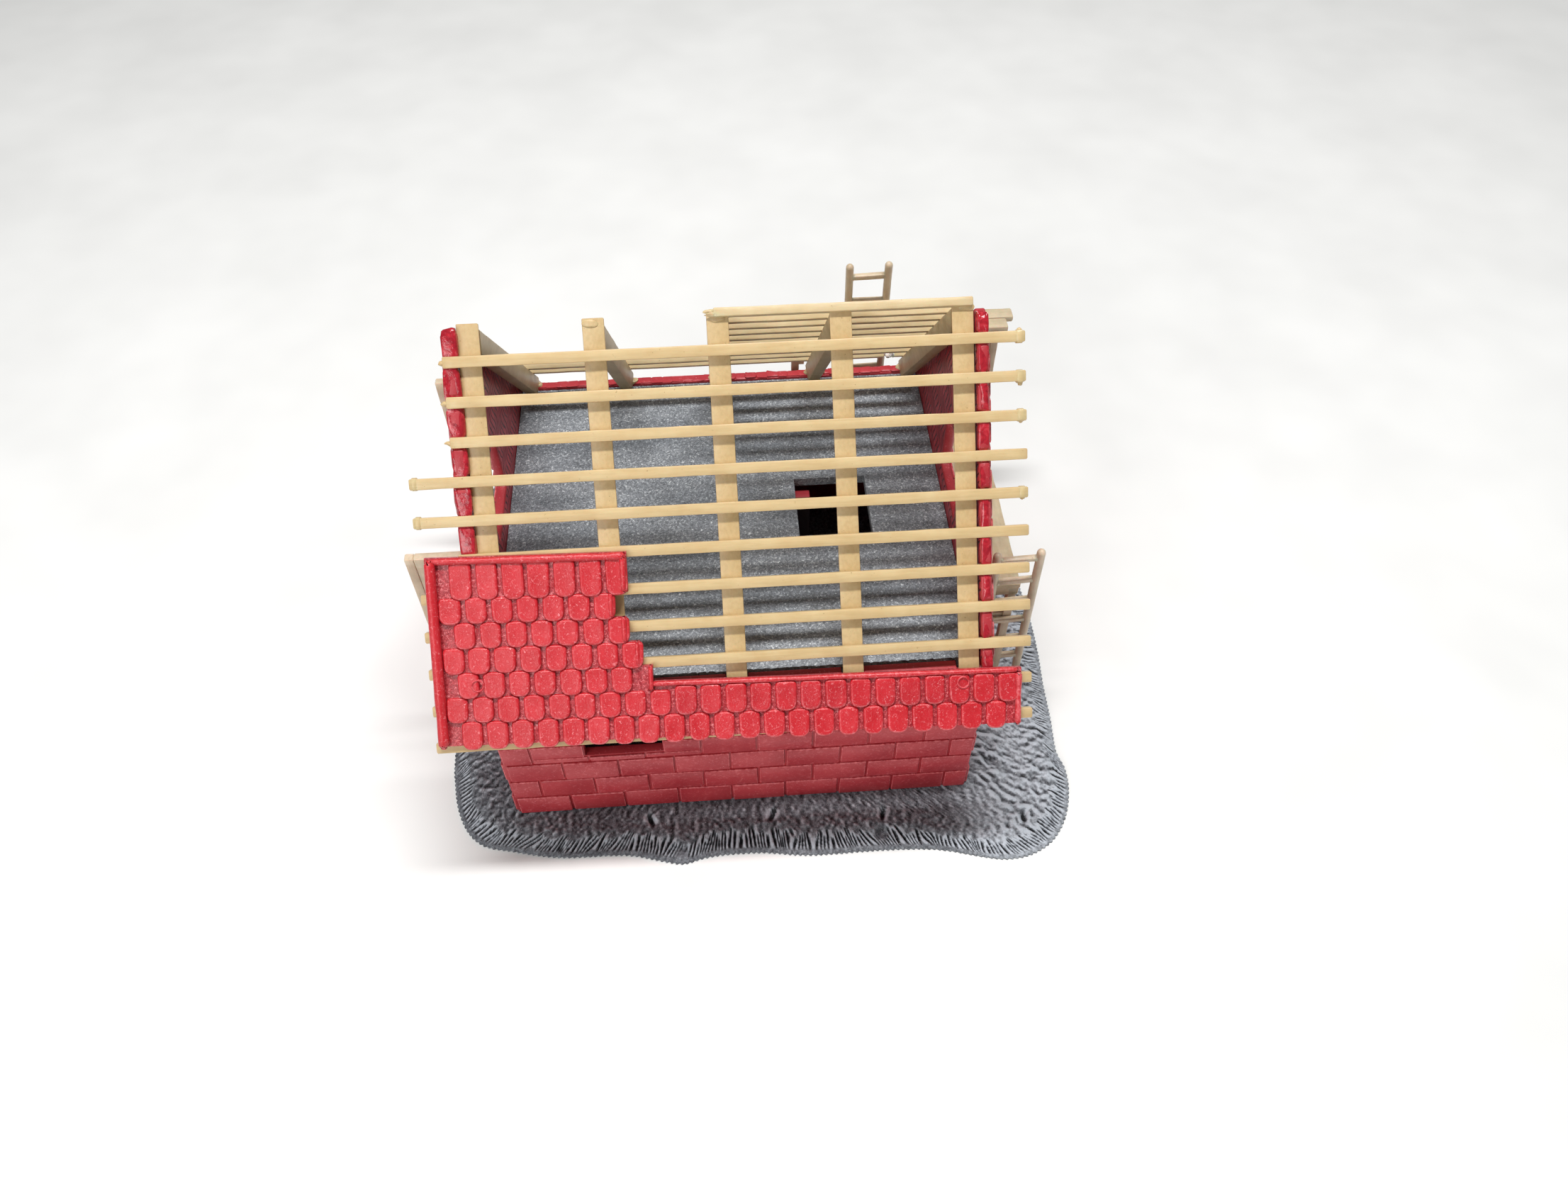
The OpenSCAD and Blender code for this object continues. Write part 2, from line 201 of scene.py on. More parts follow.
for share in ring_shares:
    x = plate_middle.x + np.cos(turns) * reach * share
    y = plate_middle.y + np.sin(turns) * reach * share
    inward = reach * (1 - share)
    flat = np.column_stack([x, y])
    fall = np.clip(inward / bank_w, 0, 1)
    drop = (1 - fall * (1.6 - 0.6 * fall)) * (ground - 0.45 * mm)
    # Grass strokes: each is a narrow groove of its own length that leans a little.
    slant = walked + 0.30 * inward * rough(np.column_stack([walked, walked * 0]), 7 * mm, 3)
    which = slant / stroke_pitch + 1.3 * rough(np.column_stack([slant, inward * 0.4]), 1.7 * mm, 4)
    stroke = np.abs(np.sin(math.pi * which))
    high_end = 3.2 * mm + 0.9 * mm * rough(np.column_stack([slant, slant * 0]), 0.8 * mm, 5)
    on_bank = np.clip((high_end - inward) / (0.7 * mm), 0, 1)
    on_bank = on_bank * np.clip((inward - 0.5 * mm) / (1.1 * mm), 0, 1)
    front = np.clip((-24 * mm - y) / (10 * mm), 0, 1)
    grooves = (0.26 * mm + 0.36 * mm * front) * on_bank * (1 - stroke) ** 1.2 * 1.5
    pebbly = 0.13 * mm * rough(flat, 0.8 * mm, 7) + 0.08 * mm * rough(flat, 0.45 * mm, 8)
    rolling = 0.16 * mm * rough(flat, 5 * mm, 9)
    # Wrinkled stony mound beside the front corner of the right gable.
    mound = np.exp(-((x - mound_x) / (2.3 * mm)) ** 2 - ((y - mound_y) / (6.0 * mm)) ** 2)
    mound = mound * (0.6 * mm + 0.9 * mm * rough(flat, 0.9 * mm, 11))
    stony = np.clip((x - 36 * mm) / (9 * mm), 0, 1) * 0.24 * mm * rough(flat, 0.85 * mm, 12)
    height = ground - drop - grooves + (pebbly + rolling + stony + mound) * np.clip(fall, 0.15, 1)
    # Four slits near the front edge, and two smooth tabs on the bank left by the mould.
    for slit_x, slit_y, slit_turn in slits:
        across = (x - slit_x * mm) * math.cos(slit_turn) + (y - slit_y * mm) * math.sin(slit_turn)
        along = (y - slit_y * mm) * math.cos(slit_turn) - (x - slit_x * mm) * math.sin(slit_turn)
        height = height - 1.5 * mm * np.exp(-(across / (0.42 * mm)) ** 2 - (along / (0.9 * mm)) ** 2)
        raised_lip = np.exp(-((across - 0.6 * mm) / (0.4 * mm)) ** 2 - (along / (0.8 * mm)) ** 2)
        height = height + 0.3 * mm * raised_lip
    for tab_x, tab_y in mould_tabs:
        tab = np.exp(-(((x - tab_x * mm) / (1.4 * mm)) ** 2 + ((y - tab_y * mm) / (1.2 * mm)) ** 2) ** 2)
        height = height * (1 - tab) + (0.75 * mm + 0.6 * fall * mm) * tab
    teeth = 0.16 * mm * np.sin(2 * math.pi * walked / (0.85 * mm)) * (share > 0.99)
    height = np.clip(height, 0.12 * mm, None)
    under_house = (np.abs(x) < 36 * mm) & (np.abs(y) < 32 * mm)
    height = np.where(under_house, ground - 0.05 * mm, np.minimum(height, ground + 1.1 * mm))
    plate_rows.append(len(plate_verts))
    plate_verts += list(zip(x + np.cos(turns) * teeth, y + np.sin(turns) * teeth, height))
plate_rows.append(len(plate_verts))
plate_verts += [(v[0], v[1], 0) for v in plate_verts[plate_rows[-2]:]]
plate_verts.append((plate_middle.x, plate_middle.y, 0))
pairs = [(i, (i + 1) % rim_spots) for i in range(rim_spots)]
plate_faces = [(0, plate_rows[0] + a, plate_rows[0] + b) for a, b in pairs]
for inner, outer in zip(plate_rows, plate_rows[1:]):
    plate_faces += [(inner + a, outer + a, outer + b, inner + b) for a, b in pairs]
last = len(plate_verts) - 1
plate_faces += [(last, plate_rows[-1] + b, plate_rows[-1] + a) for a, b in pairs]

ground_plastic, tree, shader, place = moulded_plastic("washed ground plastic", 0.62, gloss=0.45)
# The ramp follows the wash, together with the painted light and painted shade stored in each point.
wash_and_painted_light = stored(tree, "wash_and_painted_light")
grit = speckle(tree, place, 0.5 * mm, 4)
scratch = speckle(tree, place, 0.34 * mm, 3, stretch=(1, 0.5, 1), warp=2.2)
tone = reckoned(tree, "MULTIPLY", reckoned(tree, "ADD", wash_and_painted_light, grit), 0.5)
bare = shades(tree, tone, (0.30, paint(30, 31, 34)), (0.42, paint(80, 82, 88)), (0.54, paint(126, 130, 136)),
              (0.70, paint(190, 196, 204)))
bare = mixed(tree, mask(tree, scratch, 0.60, 0.70), bare, paint(172, 174, 178))
tree.links.new(bare, shader.inputs["Base Color"])
press_in(tree, shader, scratch, 0.22 * mm, 0.7)

plate = new_piece("ground_moulding", plate_verts, plate_faces, ground_plastic, crease=80)
# How pale a spot is: ridges lose the wash and show light plastic, hollows keep it. The right end is
# painted paler as painted light from the right, and the ground back from the front wall's foot is a
# little darker as painted shade, fading out in front of the wall.
tops = np.array([v[2] for v in plate_verts])
level = np.full(len(tops), 0.5)
inner_count = plate_rows[-1]
grid = tops[1:inner_count].reshape(-1, rim_spots)
around = (np.roll(grid, 2, 1) + np.roll(grid, -2, 1) + np.roll(grid, 4, 1) + np.roll(grid, -4, 1)) / 4
spots = np.array(plate_verts)[1:inner_count, :2]
patch = rough(spots, 12 * mm, 21).reshape(grid.shape) * 0.05
# Painted light: the right end is paler, as if lit from the right.
painted_light_on_right = np.clip((spots[:, 0].reshape(grid.shape) - 34 * mm) / (8 * mm), 0, 1) * 0.26
# Painted shade: darker back from the front wall's foot, fading out over a few mm in front of it.
painted_shade_at_front_wall = np.exp(-np.clip(-spots[:, 1].reshape(grid.shape) - 33 * mm, 0, 1) / (3 * mm)) * 0.05
level[1:inner_count] = np.clip(0.47 + (grid - around) / (0.30 * mm) + patch + painted_light_on_right - painted_shade_at_front_wall, 0, 1).ravel()
wash_and_light_values = plate.data.attributes.new("wash_and_painted_light", "FLOAT", "POINT")
wash_and_light_values.data.foreach_set("value", level)
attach(plate, "root")
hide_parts("ground_plate")

# ==== Brick walls =====================================================================
# Dark red mouldings of long hollow-clay blocks in running bond, each block a low pad with
# softened edges and pale scuffs. The pale rims along the pads' edges are painted highlights,
# with some frosting from the mould. The gables carry melted lumps of glue and plastic
# between the battens. Their inner faces are rough, with scribbled tool marks.

bay = (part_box("front_rafter_3")[0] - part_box("front_rafter_2")[0]).x
course = 0.29 * bay
block_l = 0.5185 * bay
block_shift = (-0.106 * bay, 0.155 * bay)
joint = 0.42 * mm
pad = 0.40 * mm

brick_plastic, tree, shader, place = moulded_plastic("brick red plastic", 0.42, glow=0.05)
cloud = speckle(tree, place, 9 * mm, 3)
scuff = speckle(tree, place, 0.35 * mm, 4, warp=0.6)
base = shades(tree, cloud, (0.30, paint(162, 34, 44)), (0.70, paint(186, 60, 66)))
frosted = mixed(tree, mask(tree, scuff, 0.60, 0.76), base, paint(214, 118, 124))
# Painted highlight, with some frosting: points with an edge value turn pale pink along the pads' rims.
fuzz = speckle(tree, place, 0.6 * mm, 3)
edge = mask(tree, reckoned(tree, "MULTIPLY", stored(tree, "edge"), fuzz), 0.30, 0.55)
tree.links.new(mixed(tree, edge, frosted, paint(222, 116, 120)), shader.inputs["Base Color"])
press_in(tree, shader, scuff, 0.08 * mm, 0.5)

lump_plastic, tree, shader, place = moulded_plastic("melted red plastic", 0.16, glow=0.12, gloss=0.6)
swirl = speckle(tree, place, 1.4 * mm, 4, warp=1.5)
lump_red = shades(tree, swirl, (0.32, paint(140, 14, 30)), (0.58, paint(180, 32, 46)),
                  (0.80, paint(214, 92, 100)))
tree.links.new(lump_red, shader.inputs["Base Color"])
press_in(tree, shader, speckle(tree, place, 0.7 * mm, 3, warp=1), 0.12 * mm, 0.5)

scribble_plastic, tree, shader, place = moulded_plastic("scribbled inner red", 0.40, glow=0.05)
up_and_along = add_node(tree, "ShaderNodeSeparateXYZ", {"Vector": place}).outputs
turns_per_metre = 320.0
strokes_per_metre = 720.0
zigzag = reckoned(tree, "PINGPONG", reckoned(tree, "MULTIPLY", up_and_along["Z"], turns_per_metre), 1.0)
along = reckoned(tree, "MULTIPLY", up_and_along["Y"], strokes_per_metre)
drift = speckle(tree, place, 2.5 * mm, 3)
shifted = reckoned(tree, "ADD", reckoned(tree, "ADD", along, zigzag), drift)
scored = mask(tree, reckoned(tree, "PINGPONG", shifted, 0.5), 0.04, 0.20)
cloud = speckle(tree, place, 3 * mm, 3)
inner_red = shades(tree, cloud, (0.3, paint(160, 24, 40)), (0.7, paint(206, 64, 78)))
tree.links.new(mixed(tree, scored, paint(74, 8, 20), inner_red), shader.inputs["Base Color"])
press_in(tree, shader, scored, 0.2 * mm, 0.7)


def copied(node, soften):
    """Points and faces of a CAD node, its loose triangles merged and its edges softened."""
    shell = bmesh.new()
    shell.from_mesh(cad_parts[node].data)
    bmesh.ops.remove_doubles(shell, verts=shell.verts, dist=0.001 * mm)
    bmesh.ops.dissolve_limit(shell, angle_limit=math.radians(1), verts=shell.verts, edges=shell.edges)
    sharp = [e for e in shell.edges if len(e.link_faces) == 2 and e.calc_face_angle(0) > 0.5]
    bmesh.ops.bevel(shell, geom=sharp, offset=soften, segments=2, profile=0.5, affect="EDGES",
                    clamp_overlap=True)
    bmesh.ops.triangulate(shell, faces=[f for f in shell.faces if len(f.verts) > 4])
    shell.verts.index_update()
    verts = [tuple(v.co) for v in shell.verts]
    faces = [tuple(v.index for v in f.verts) for f in shell.faces]
    shell.free()
    return verts, faces


def add_shell(shell, verts, faces):
    """Adds points and faces to a piece that is being put together."""
    start = len(shell[0])
    shell[0].extend(tuple(v) for v in verts)
    shell[1].extend(tuple(start + i for i in face) for face in faces)


def bare_wall(node, soften):
    """A wall's own body, to which blocks are added, and how much painted highlight and frosting its points
    get: none.
    """
    shell = ([], [])
    add_shell(shell, *copied(node, soften))
    return shell, [0.0] * len(shell[0])


def band(first, second, count):
    """Faces between two rings of count points, given by the numbers of the rings' first points."""
    return [(first + i, first + (i + 1) % count, second + (i + 1) % count, second + i) for i in range(count)]


def clipped(outline, point, outward):
    """What is left of a convex outline on the inner side of a line."""
    kept = []
    for a, b in zip(outline, outline[1:] + outline[:1]):
        da = (a[0] - point[0]) * outward[0] + (a[1] - point[1]) * outward[1]
        db = (b[0] - point[0]) * outward[0] + (b[1] - point[1]) * outward[1]
        if da <= 0:
            kept.append(a)
        if (da < 0) != (db < 0) and da != db:
            share = da / (da - db)
            kept.append((a[0] + (b[0] - a[0]) * share, a[1] + (b[1] - a[1]) * share))
    return kept


def drawn_in(outline, amount):
    """A convex outline moved inwards by an amount on every side."""
    count = len(outline)
    inner = []
    for i in range(count):
        before = Vector(outline[i]) - Vector(outline[i - 1])
        beyond = Vector(outline[(i + 1) % count]) - Vector(outline[i])
        if before.length < 1e-7 or beyond.length < 1e-7:
            return []
        before.normalize()
        beyond.normalize()
        inward = Vector((-before.y, before.x)) + Vector((-beyond.y, beyond.x))
        scale = amount / max(0.3, 1 + before.dot(beyond))
        inner.append((outline[i][0] + inward.x * scale, outline[i][1] + inward.y * scale))
    return inner


def area(outline):
    """Signed area of an outline, positive when it runs anticlockwise."""
    return sum(a[0] * b[1] - b[0] * a[1] for a, b in zip(outline, outline[1:] + outline[:1])) / 2


def block_outlines(left, right, top, openings, slopes=()):
    """Outlines of the blocks on a wall face: running bond, cut round openings and along slopes."""
    outlines = []
    for row in range(math.ceil(top / course)):
        low, high = row * course, min(top, (row + 1) * course)
        first = block_shift[row % 2] - math.ceil((block_shift[row % 2] - left) / block_l) * block_l
        for k in range(math.ceil((right - first) / block_l) + 1):
            a, b = max(left, first + k * block_l), min(right, first + (k + 1) * block_l)
            if b - a < 3 * joint:
                continue
            cells = [(a, low, b, high)]
            for o_left, o_low, o_right, o_high in openings:
                parts = []
                for x0, y0, x1, y1 in cells:
                    if x1 <= o_left or x0 >= o_right or y1 <= o_low or y0 >= o_high:
                        parts.append((x0, y0, x1, y1))
                        continue
                    mid0, mid1 = max(y0, o_low), min(y1, o_high)
                    parts += [(x0, y0, x1, mid0), (x0, mid1, x1, y1), (x0, mid0, o_left, mid1),
                              (o_right, mid0, x1, mid1)]
                cells = [c for c in parts if c[2] - c[0] > 3 * joint and c[3] - c[1] > 3 * joint]
            for x0, y0, x1, y1 in cells:
                outline = [(x0, y0), (x1, y0), (x1, y1), (x0, y1)]
                for point, outward in slopes:
                    outline = clipped(outline, point, outward)
                if len(outline) > 2 and area(outline) > (1 * mm) ** 2:
                    outlines.append(outline)
    return outlines


def lay_blocks(shell, edges, outlines, to_space, seed):
    """Adds one low pad for each outline, with a softened edge, standing out from the wall."""
    chance = np.random.default_rng(seed)
    for outline in outlines:
        face = drawn_in(outline, joint / 2)
        top = drawn_in(outline, joint / 2 + 0.16 * mm)
        if not top or area(top) < (0.5 * mm) ** 2:
            continue
        lift = pad * (1 + 0.22 * chance.uniform(-1, 1))
        nudge = chance.uniform(-0.06, 0.06, (len(face), 2)) * mm
        face = [(p[0] + n[0], p[1] + n[1]) for p, n in zip(face, nudge)]
        count = len(face)
        verts = [to_space(p[0], p[1], -0.2 * mm) for p in face]
        verts += [to_space(p[0], p[1], lift - 0.12 * mm) for p in face]
        verts += [to_space(p[0], p[1], lift) for p in top]
        faces = [tuple(reversed(range(count))), tuple(range(2 * count, 3 * count))]
        faces += band(0, count, count) + band(count, 2 * count, count)
        add_shell(shell, verts, faces)
        # Painted highlight, with some frosting: the rim of each pad gets the most, its top less, its foot
        # none.
        edges += [0.0] * count + [1.0] * count + [0.55] * count


def lump(shell, middle, half, axes, seed, bump=0.12, square=0.55, columns=14, rows=9):
    """Adds a rounded uneven lump of melted plastic: half is its half size along the three axes."""
    ring_turns = np.linspace(0, 2 * math.pi, columns, endpoint=False)
    lifts = np.linspace(-math.pi / 2, math.pi / 2, rows)
    grid = []
    for lift in lifts[1:-1]:
        for turn in ring_turns:
            grid.append((math.cos(lift) * math.cos(turn), math.cos(lift) * math.sin(turn), math.sin(lift)))
    grid = np.array([(0, 0, -1)] + grid + [(0, 0, 1)])
    shape = np.sign(grid) * np.abs(grid) ** square
    shape *= (1 + bump * rough(grid + seed * 3.1, 0.7, seed))[:, None]
    verts = np.array(middle) + (shape * np.array(half)) @ np.array([tuple(a) for a in axes])
    faces = []
    for row in range(rows - 3):
        faces += band(1 + row * columns, 1 + (row + 1) * columns, columns)
    top = len(grid) - 1
    for i in range(columns):
        faces.append((0, 1 + (i + 1) % columns, 1 + i))
        faces.append((top, top - columns + i, top - columns + (i + 1) % columns))
    add_shell(shell, verts, faces)


def with_edges(piece, edges):
    """Stores how much painted highlight and frosting each point gets. Points without a value lie on plain
    surfaces.
    """
    values = piece.data.attributes.new("edge", "FLOAT", "POINT")
    values.data.foreach_set("value", np.array(edges + [0.0] * (len(piece.data.vertices) - len(edges))))


half_window = 0.3585 * bay
sill_h = 16.2 * mm
lintel_h = 28 * mm
upright = ((1, 0, 0), (0, 1, 0), (0, 0, 1))

# Front wall: one window below the eave.
wall_low, wall_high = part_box("front_wall")
window = (-1.073 * bay - half_window, sill_h, -1.073 * bay + half_window, lintel_h)
shell, edges = bare_wall("front_wall", 0.12 * mm)
outlines = block_outlines(wall_low.x, wall_high.x, wall_high.z - ground - 5 * mm, [window])
lay_blocks(shell, edges, outlines, lambda u, v, out: (u, wall_low.y - out, ground + v), 31)
front_wall = new_piece("front_masonry", *shell, brick_plastic)
with_edges(front_wall, edges)
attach(front_wall, "root")
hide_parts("front_wall")

# Rear wall: a doorway and a window, and a chipped top edge that was left bare.
wall_low, wall_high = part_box("rear_wall")
doorway = (-0.5 * bay - 6.75 * mm, 0, -0.5 * bay + 6.75 * mm, 27 * mm)
rear_window = (1.1 * bay - half_window, sill_h, 1.1 * bay + half_window, lintel_h)
shell, edges = bare_wall("rear_wall", 0.12 * mm)
outlines = block_outlines(wall_low.x, wall_high.x, wall_high.z - ground, [doorway, rear_window])
lay_blocks(shell, edges, outlines, lambda u, v, out: (u, wall_high.y + out, ground + v), 32)
chance = np.random.default_rng(33)
wall_mid_y = (wall_low.y + wall_high.y) / 2
for x in np.arange(wall_low.x + 1.2 * mm, wall_high.x - 1 * mm, 1.9 * mm):
    size = (1.15 * mm, 0.78 * mm, (0.20 + 0.22 * chance.random() * (x > 0)) * mm)
    lump(shell, (x, wall_mid_y, wall_high.z), size, upright, int(x / mm) + 90,
         bump=0.25, square=0.4, columns=10, rows=7)
rear_wall = new_piece("rear_masonry", *shell, brick_plastic)
with_edges(rear_wall, edges)
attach(rear_wall, "root")
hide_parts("rear_wall")

# The two roof slopes. Down runs from the ridge to the eave and out stands square to the slope.
batten_first, batten_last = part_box("batten_1"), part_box("batten_11")
down_front = ((batten_last[0] + batten_last[1]) - (batten_first[0] + batten_first[1]))
down_front = Vector((0, down_front.y, down_front.z)).normalized()
out_front = Vector((0, down_front.z, -down_front.y))
batten_pitch = 5.43 * mm
batten_w = 1.55 * mm
batten_t = 1.2 * mm
first_batten = 4.45 * mm
front_ridge = (batten_first[0] + batten_first[1]) / 2
front_ridge = Vector((0, front_ridge.y, front_ridge.z))
front_ridge -= down_front * (first_batten + batten_w / 2) + out_front * batten_t / 2


def on_front(x, down, out):
    """A point on the front slope: down from the ridge, and out from the rafters' top faces."""
    return front_ridge + Vector((x, 0, 0)) + down_front * down + out_front * out


front_axes = ((1, 0, 0), down_front, out_front)


# Gables: a loft window and a window below it in each, and lumps between the battens.
loft = (-0.36 * bay, 2.18 * bay, 0.36 * bay, 2.86 * bay)
side_window = (-1.15 * bay - half_window, sill_h, -1.15 * bay + half_window, lintel_h)
rear_ridge_h = 73.2 * mm
rear_slope = math.radians(47.5)
rake_slopes = (((0, front_ridge.z - ground + 0.2 * mm), (out_front.y, out_front.z)),
               ((0, rear_ridge_h), (math.sin(rear_slope), math.cos(rear_slope))))
for name, outer, side, seed, rake_half, rake_start in (
        ("left_gable", 0, -1, 41, 1.15 * mm, 0.9 * mm), ("right_gable", 1, 1, 42, 0.76 * mm, 1.5 * mm)):
    gable_low, gable_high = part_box(name)
    face_x = (gable_low, gable_high)[outer].x
    shell, edges = bare_wall(name, 0.3 * mm)
    outlines = block_outlines(gable_low.y + 0.1 * mm, gable_high.y - 0.1 * mm, 71 * mm, [loft, side_window],
                              rake_slopes)
    lay_blocks(shell, edges, outlines, lambda u, v, out: (face_x + side * out, u, ground + v), seed)
    plain_faces = len(shell[1])
    mid_x = (gable_low.x + gable_high.x) / 2
    for k in range(11):
        top_edge = rake_start if k == 0 else first_batten + (k - 1) * batten_pitch + batten_w - 0.45 * mm
        low_edge = first_batten + k * batten_pitch + 0.45 * mm
        middle = on_front(mid_x, (top_edge + low_edge) / 2, 0.12 * mm)
        half = (rake_half, (low_edge - top_edge) / 2, 0.85 * mm)
        lump(shell, middle, half, front_axes, seed * 20 + k, bump=0.24, square=0.46,
             columns=18, rows=12)
    gable = new_piece(name + "_masonry", *shell, brick_plastic, lump_plastic, scribble_plastic, crease=50)
    with_edges(gable, edges)
    inner_x = gable_low.x + gable_high.x - face_x
    for face in gable.data.polygons:
        if face.index >= plain_faces:
            face.material_index = 1
        elif abs(face.center.x - inner_x) < 0.02 * mm and abs(face.normal.x) > 0.9:
            face.material_index = 2
    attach(gable, "root")
    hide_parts(name)

# ==== Upper floor, inner wall and stair ===============================================
# The floor is a grainy grey plate glued between the walls, with an opening for a solid
# block stair. A red inner wall stands below it. A bead of glue shines along its front edge.

floor_low, floor_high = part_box("upper_floor")
stair_low, stair_high = Vector((0.67 * bay, -0.30 * bay)), Vector((1.37 * bay, 0.46 * bay))


def slab(x_cuts, y_cuts, keep, top, bottom):
    """Points and faces of a closed slab on a grid: keep says which cells it has."""
    verts, faces, numbers = [], [], {}
    columns, rows = len(x_cuts) - 1, len(y_cuts) - 1
    kept = {(i, j) for i in range(columns) for j in range(rows)
            if keep((x_cuts[i] + x_cuts[i + 1]) / 2, (y_cuts[j] + y_cuts[j + 1]) / 2)}

    def point(i, j, side):
        if (i, j, side) not in numbers:
            numbers[i, j, side] = len(verts)
            x, y = x_cuts[i], y_cuts[j]
            verts.append((x, y, top(x, y) if side else bottom))
        return numbers[i, j, side]

    for i, j in sorted(kept):
        faces.append((point(i, j, 1), point(i + 1, j, 1), point(i + 1, j + 1, 1), point(i, j + 1, 1)))
        faces.append((point(i, j + 1, 0), point(i + 1, j + 1, 0), point(i + 1, j, 0), point(i, j, 0)))
        for beside, a, b in (((i, j - 1), (i, j), (i + 1, j)), ((i + 1, j), (i + 1, j), (i + 1, j + 1)),
                             ((i, j + 1), (i + 1, j + 1), (i, j + 1)), ((i - 1, j), (i, j + 1), (i, j))):
            if beside not in kept:
                faces.append((point(*a, 0), point(*b, 0), point(*b, 1), point(*a, 1)))
    return verts, faces


def cuts_between(low, high, spacing, *extra):
    """Evenly spaced cuts from low to high, with a few extra ones."""
    even = np.linspace(low, high, max(2, round((high - low) / spacing) + 1))
    return sorted(set(list(even) + [e for e in extra if low < e < high]))


x_cuts = cuts_between(floor_low.x, floor_high.x, 0.55 * mm, stair_low.x, stair_high.x)
y_cuts = cuts_between(floor_low.y, floor_high.y, 0.55 * mm, stair_low.y, stair_high.y)
cut_points = np.array([(x, y) for x in x_cuts for y in y_cuts])
cut_heights = 0.05 * mm * rough(cut_points, 1.1 * mm, 51) + 0.04 * mm * rough(cut_points, 0.6 * mm, 52)
cut_heights = dict(zip(map(tuple, cut_points), floor_high.z + cut_heights))


def beside_stair(x, y):
    """Whether the floor covers this spot."""
    return not (stair_low.x < x < stair_high.x and stair_low.y < y < stair_high.y)


verts, faces = slab(x_cuts, y_cuts, beside_stair, lambda x, y: cut_heights[x, y], floor_low.z)

floor_plastic, tree, shader, place = moulded_plastic("grainy floor plastic", 0.48, gloss=0.5)
fine = speckle(tree, place, 0.32 * mm, 5, warp=0.8)
broad = speckle(tree, place, 7 * mm, 3, stretch=(0.25, 1, 1))
grains = shades(tree, fine, (0.34, paint(96, 100, 104)), (0.50, paint(136, 140, 145)),
                (0.59, paint(162, 167, 172)), (0.67, paint(234, 238, 240)))
# Painted shadow: soft darker bands, stretched along the battens, stand in for the battens' shadows on the
# floor.
painted_shadow_bands = shades(tree, broad, (0.34, paint(206, 208, 210)), (0.60, paint(255, 255, 255)))
tree.links.new(mixed(tree, 1.0, grains, painted_shadow_bands, "MULTIPLY"), shader.inputs["Base Color"])
press_in(tree, shader, fine, 0.12 * mm, 0.7)
floor_plate = new_piece("floor_plate", verts, faces, floor_plastic, crease=60)
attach(floor_plate, "root")
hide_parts("upper_floor")

glue_plastic, tree, shader, place = moulded_plastic("dried glue", 0.12, gloss=0.7)
cloud = speckle(tree, place, 1.2 * mm, 3)
glue_grey = shades(tree, cloud, (0.35, paint(24, 18, 22)), (0.70, paint(92, 84, 88)))
tree.links.new(glue_grey, shader.inputs["Base Color"])
press_in(tree, shader, speckle(tree, place, 0.6 * mm, 3), 0.15 * mm)
shell = ([], [])
chance = np.random.default_rng(55)
for x in np.arange(floor_low.x + 1 * mm, floor_high.x - 1 * mm, 1.35 * mm):
    size = (0.85 * mm, (0.32 + 0.12 * chance.random()) * mm, (0.20 + 0.12 * chance.random()) * mm)
    lump(shell, (x, floor_low.y + 0.25 * mm, floor_high.z), size, upright,
         int(x / mm) + 300, bump=0.3, square=0.8, columns=10, rows=7)
glue_bead = new_piece("floor_glue_bead", *shell, glue_plastic, crease=80)
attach(glue_bead, "root")

# Painted shade: the inner wall turns near black below the floor's underside, where the floor shades it.
shaded_plastic, tree, shader, place = moulded_plastic("inner wall red", 0.5)
lift = add_node(tree, "ShaderNodeSeparateXYZ", {"Vector": place}).outputs["Z"]
lift = add_node(tree, "ShaderNodeMapRange", {"Value": lift, "From Min": floor_low.z - 2.2 * mm,
                                             "From Max": floor_low.z - 1.4 * mm}).outputs["Result"]
tree.links.new(mixed(tree, lift, paint(28, 8, 12), paint(176, 50, 60)), shader.inputs["Base Color"])
for name, material, soften, slot_name in (("inner_wall", shaded_plastic, 0.15 * mm, "brick_red"),
                                          ("stair_flight", floor_plastic, 0.15 * mm, "floor_grey")):
    built = new_piece(name + "_moulding", *copied(name, soften), material)
    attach(built, "root")
    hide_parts(name)

# ==== Rafters =========================================================================
# Ten tan mouldings with a slight draft, so that their undersides are narrower than their
# tops. The front ones are cut plumb at the ridge and glued there. The rear ones stand on
# the rear wall. Blobs of glue sit on three of the ridge joints.


def timber_look(name, light, dark, roughness, glow, grain_axis):
    """Tan plastic with faint grain along one axis, cloudy tone and tiny dark and light nicks."""
    material, tree, shader, place = moulded_plastic(name, roughness, glow=glow)
    stretch = [1.0, 1.0, 1.0]
    stretch[grain_axis] = 0.08
    streak = speckle(tree, place, 0.5 * mm, 4, stretch=stretch, warp=0.3)
    tone = speckle(tree, place, 5 * mm, 3)
    nick = speckle(tree, place, 0.42 * mm, 2)
    base = shades(tree, tone, (0.32, dark), (0.68, light))
    streaks = shades(tree, streak, (0.32, (0.90, 0.88, 0.85, 1)), (0.60, (1, 1, 1, 1)))
    base = mixed(tree, 1.0, base, streaks, "MULTIPLY")
    spots = shades(tree, nick, (0.22, (0.60, 0.54, 0.46, 1)), (0.30, (1, 1, 1, 1)))
    tree.links.new(mixed(tree, 1.0, base, spots, "MULTIPLY"), shader.inputs["Base Color"])
    press_in(tree, shader, reckoned(tree, "ADD", streak, nick), 0.05 * mm, 0.4)
    return material


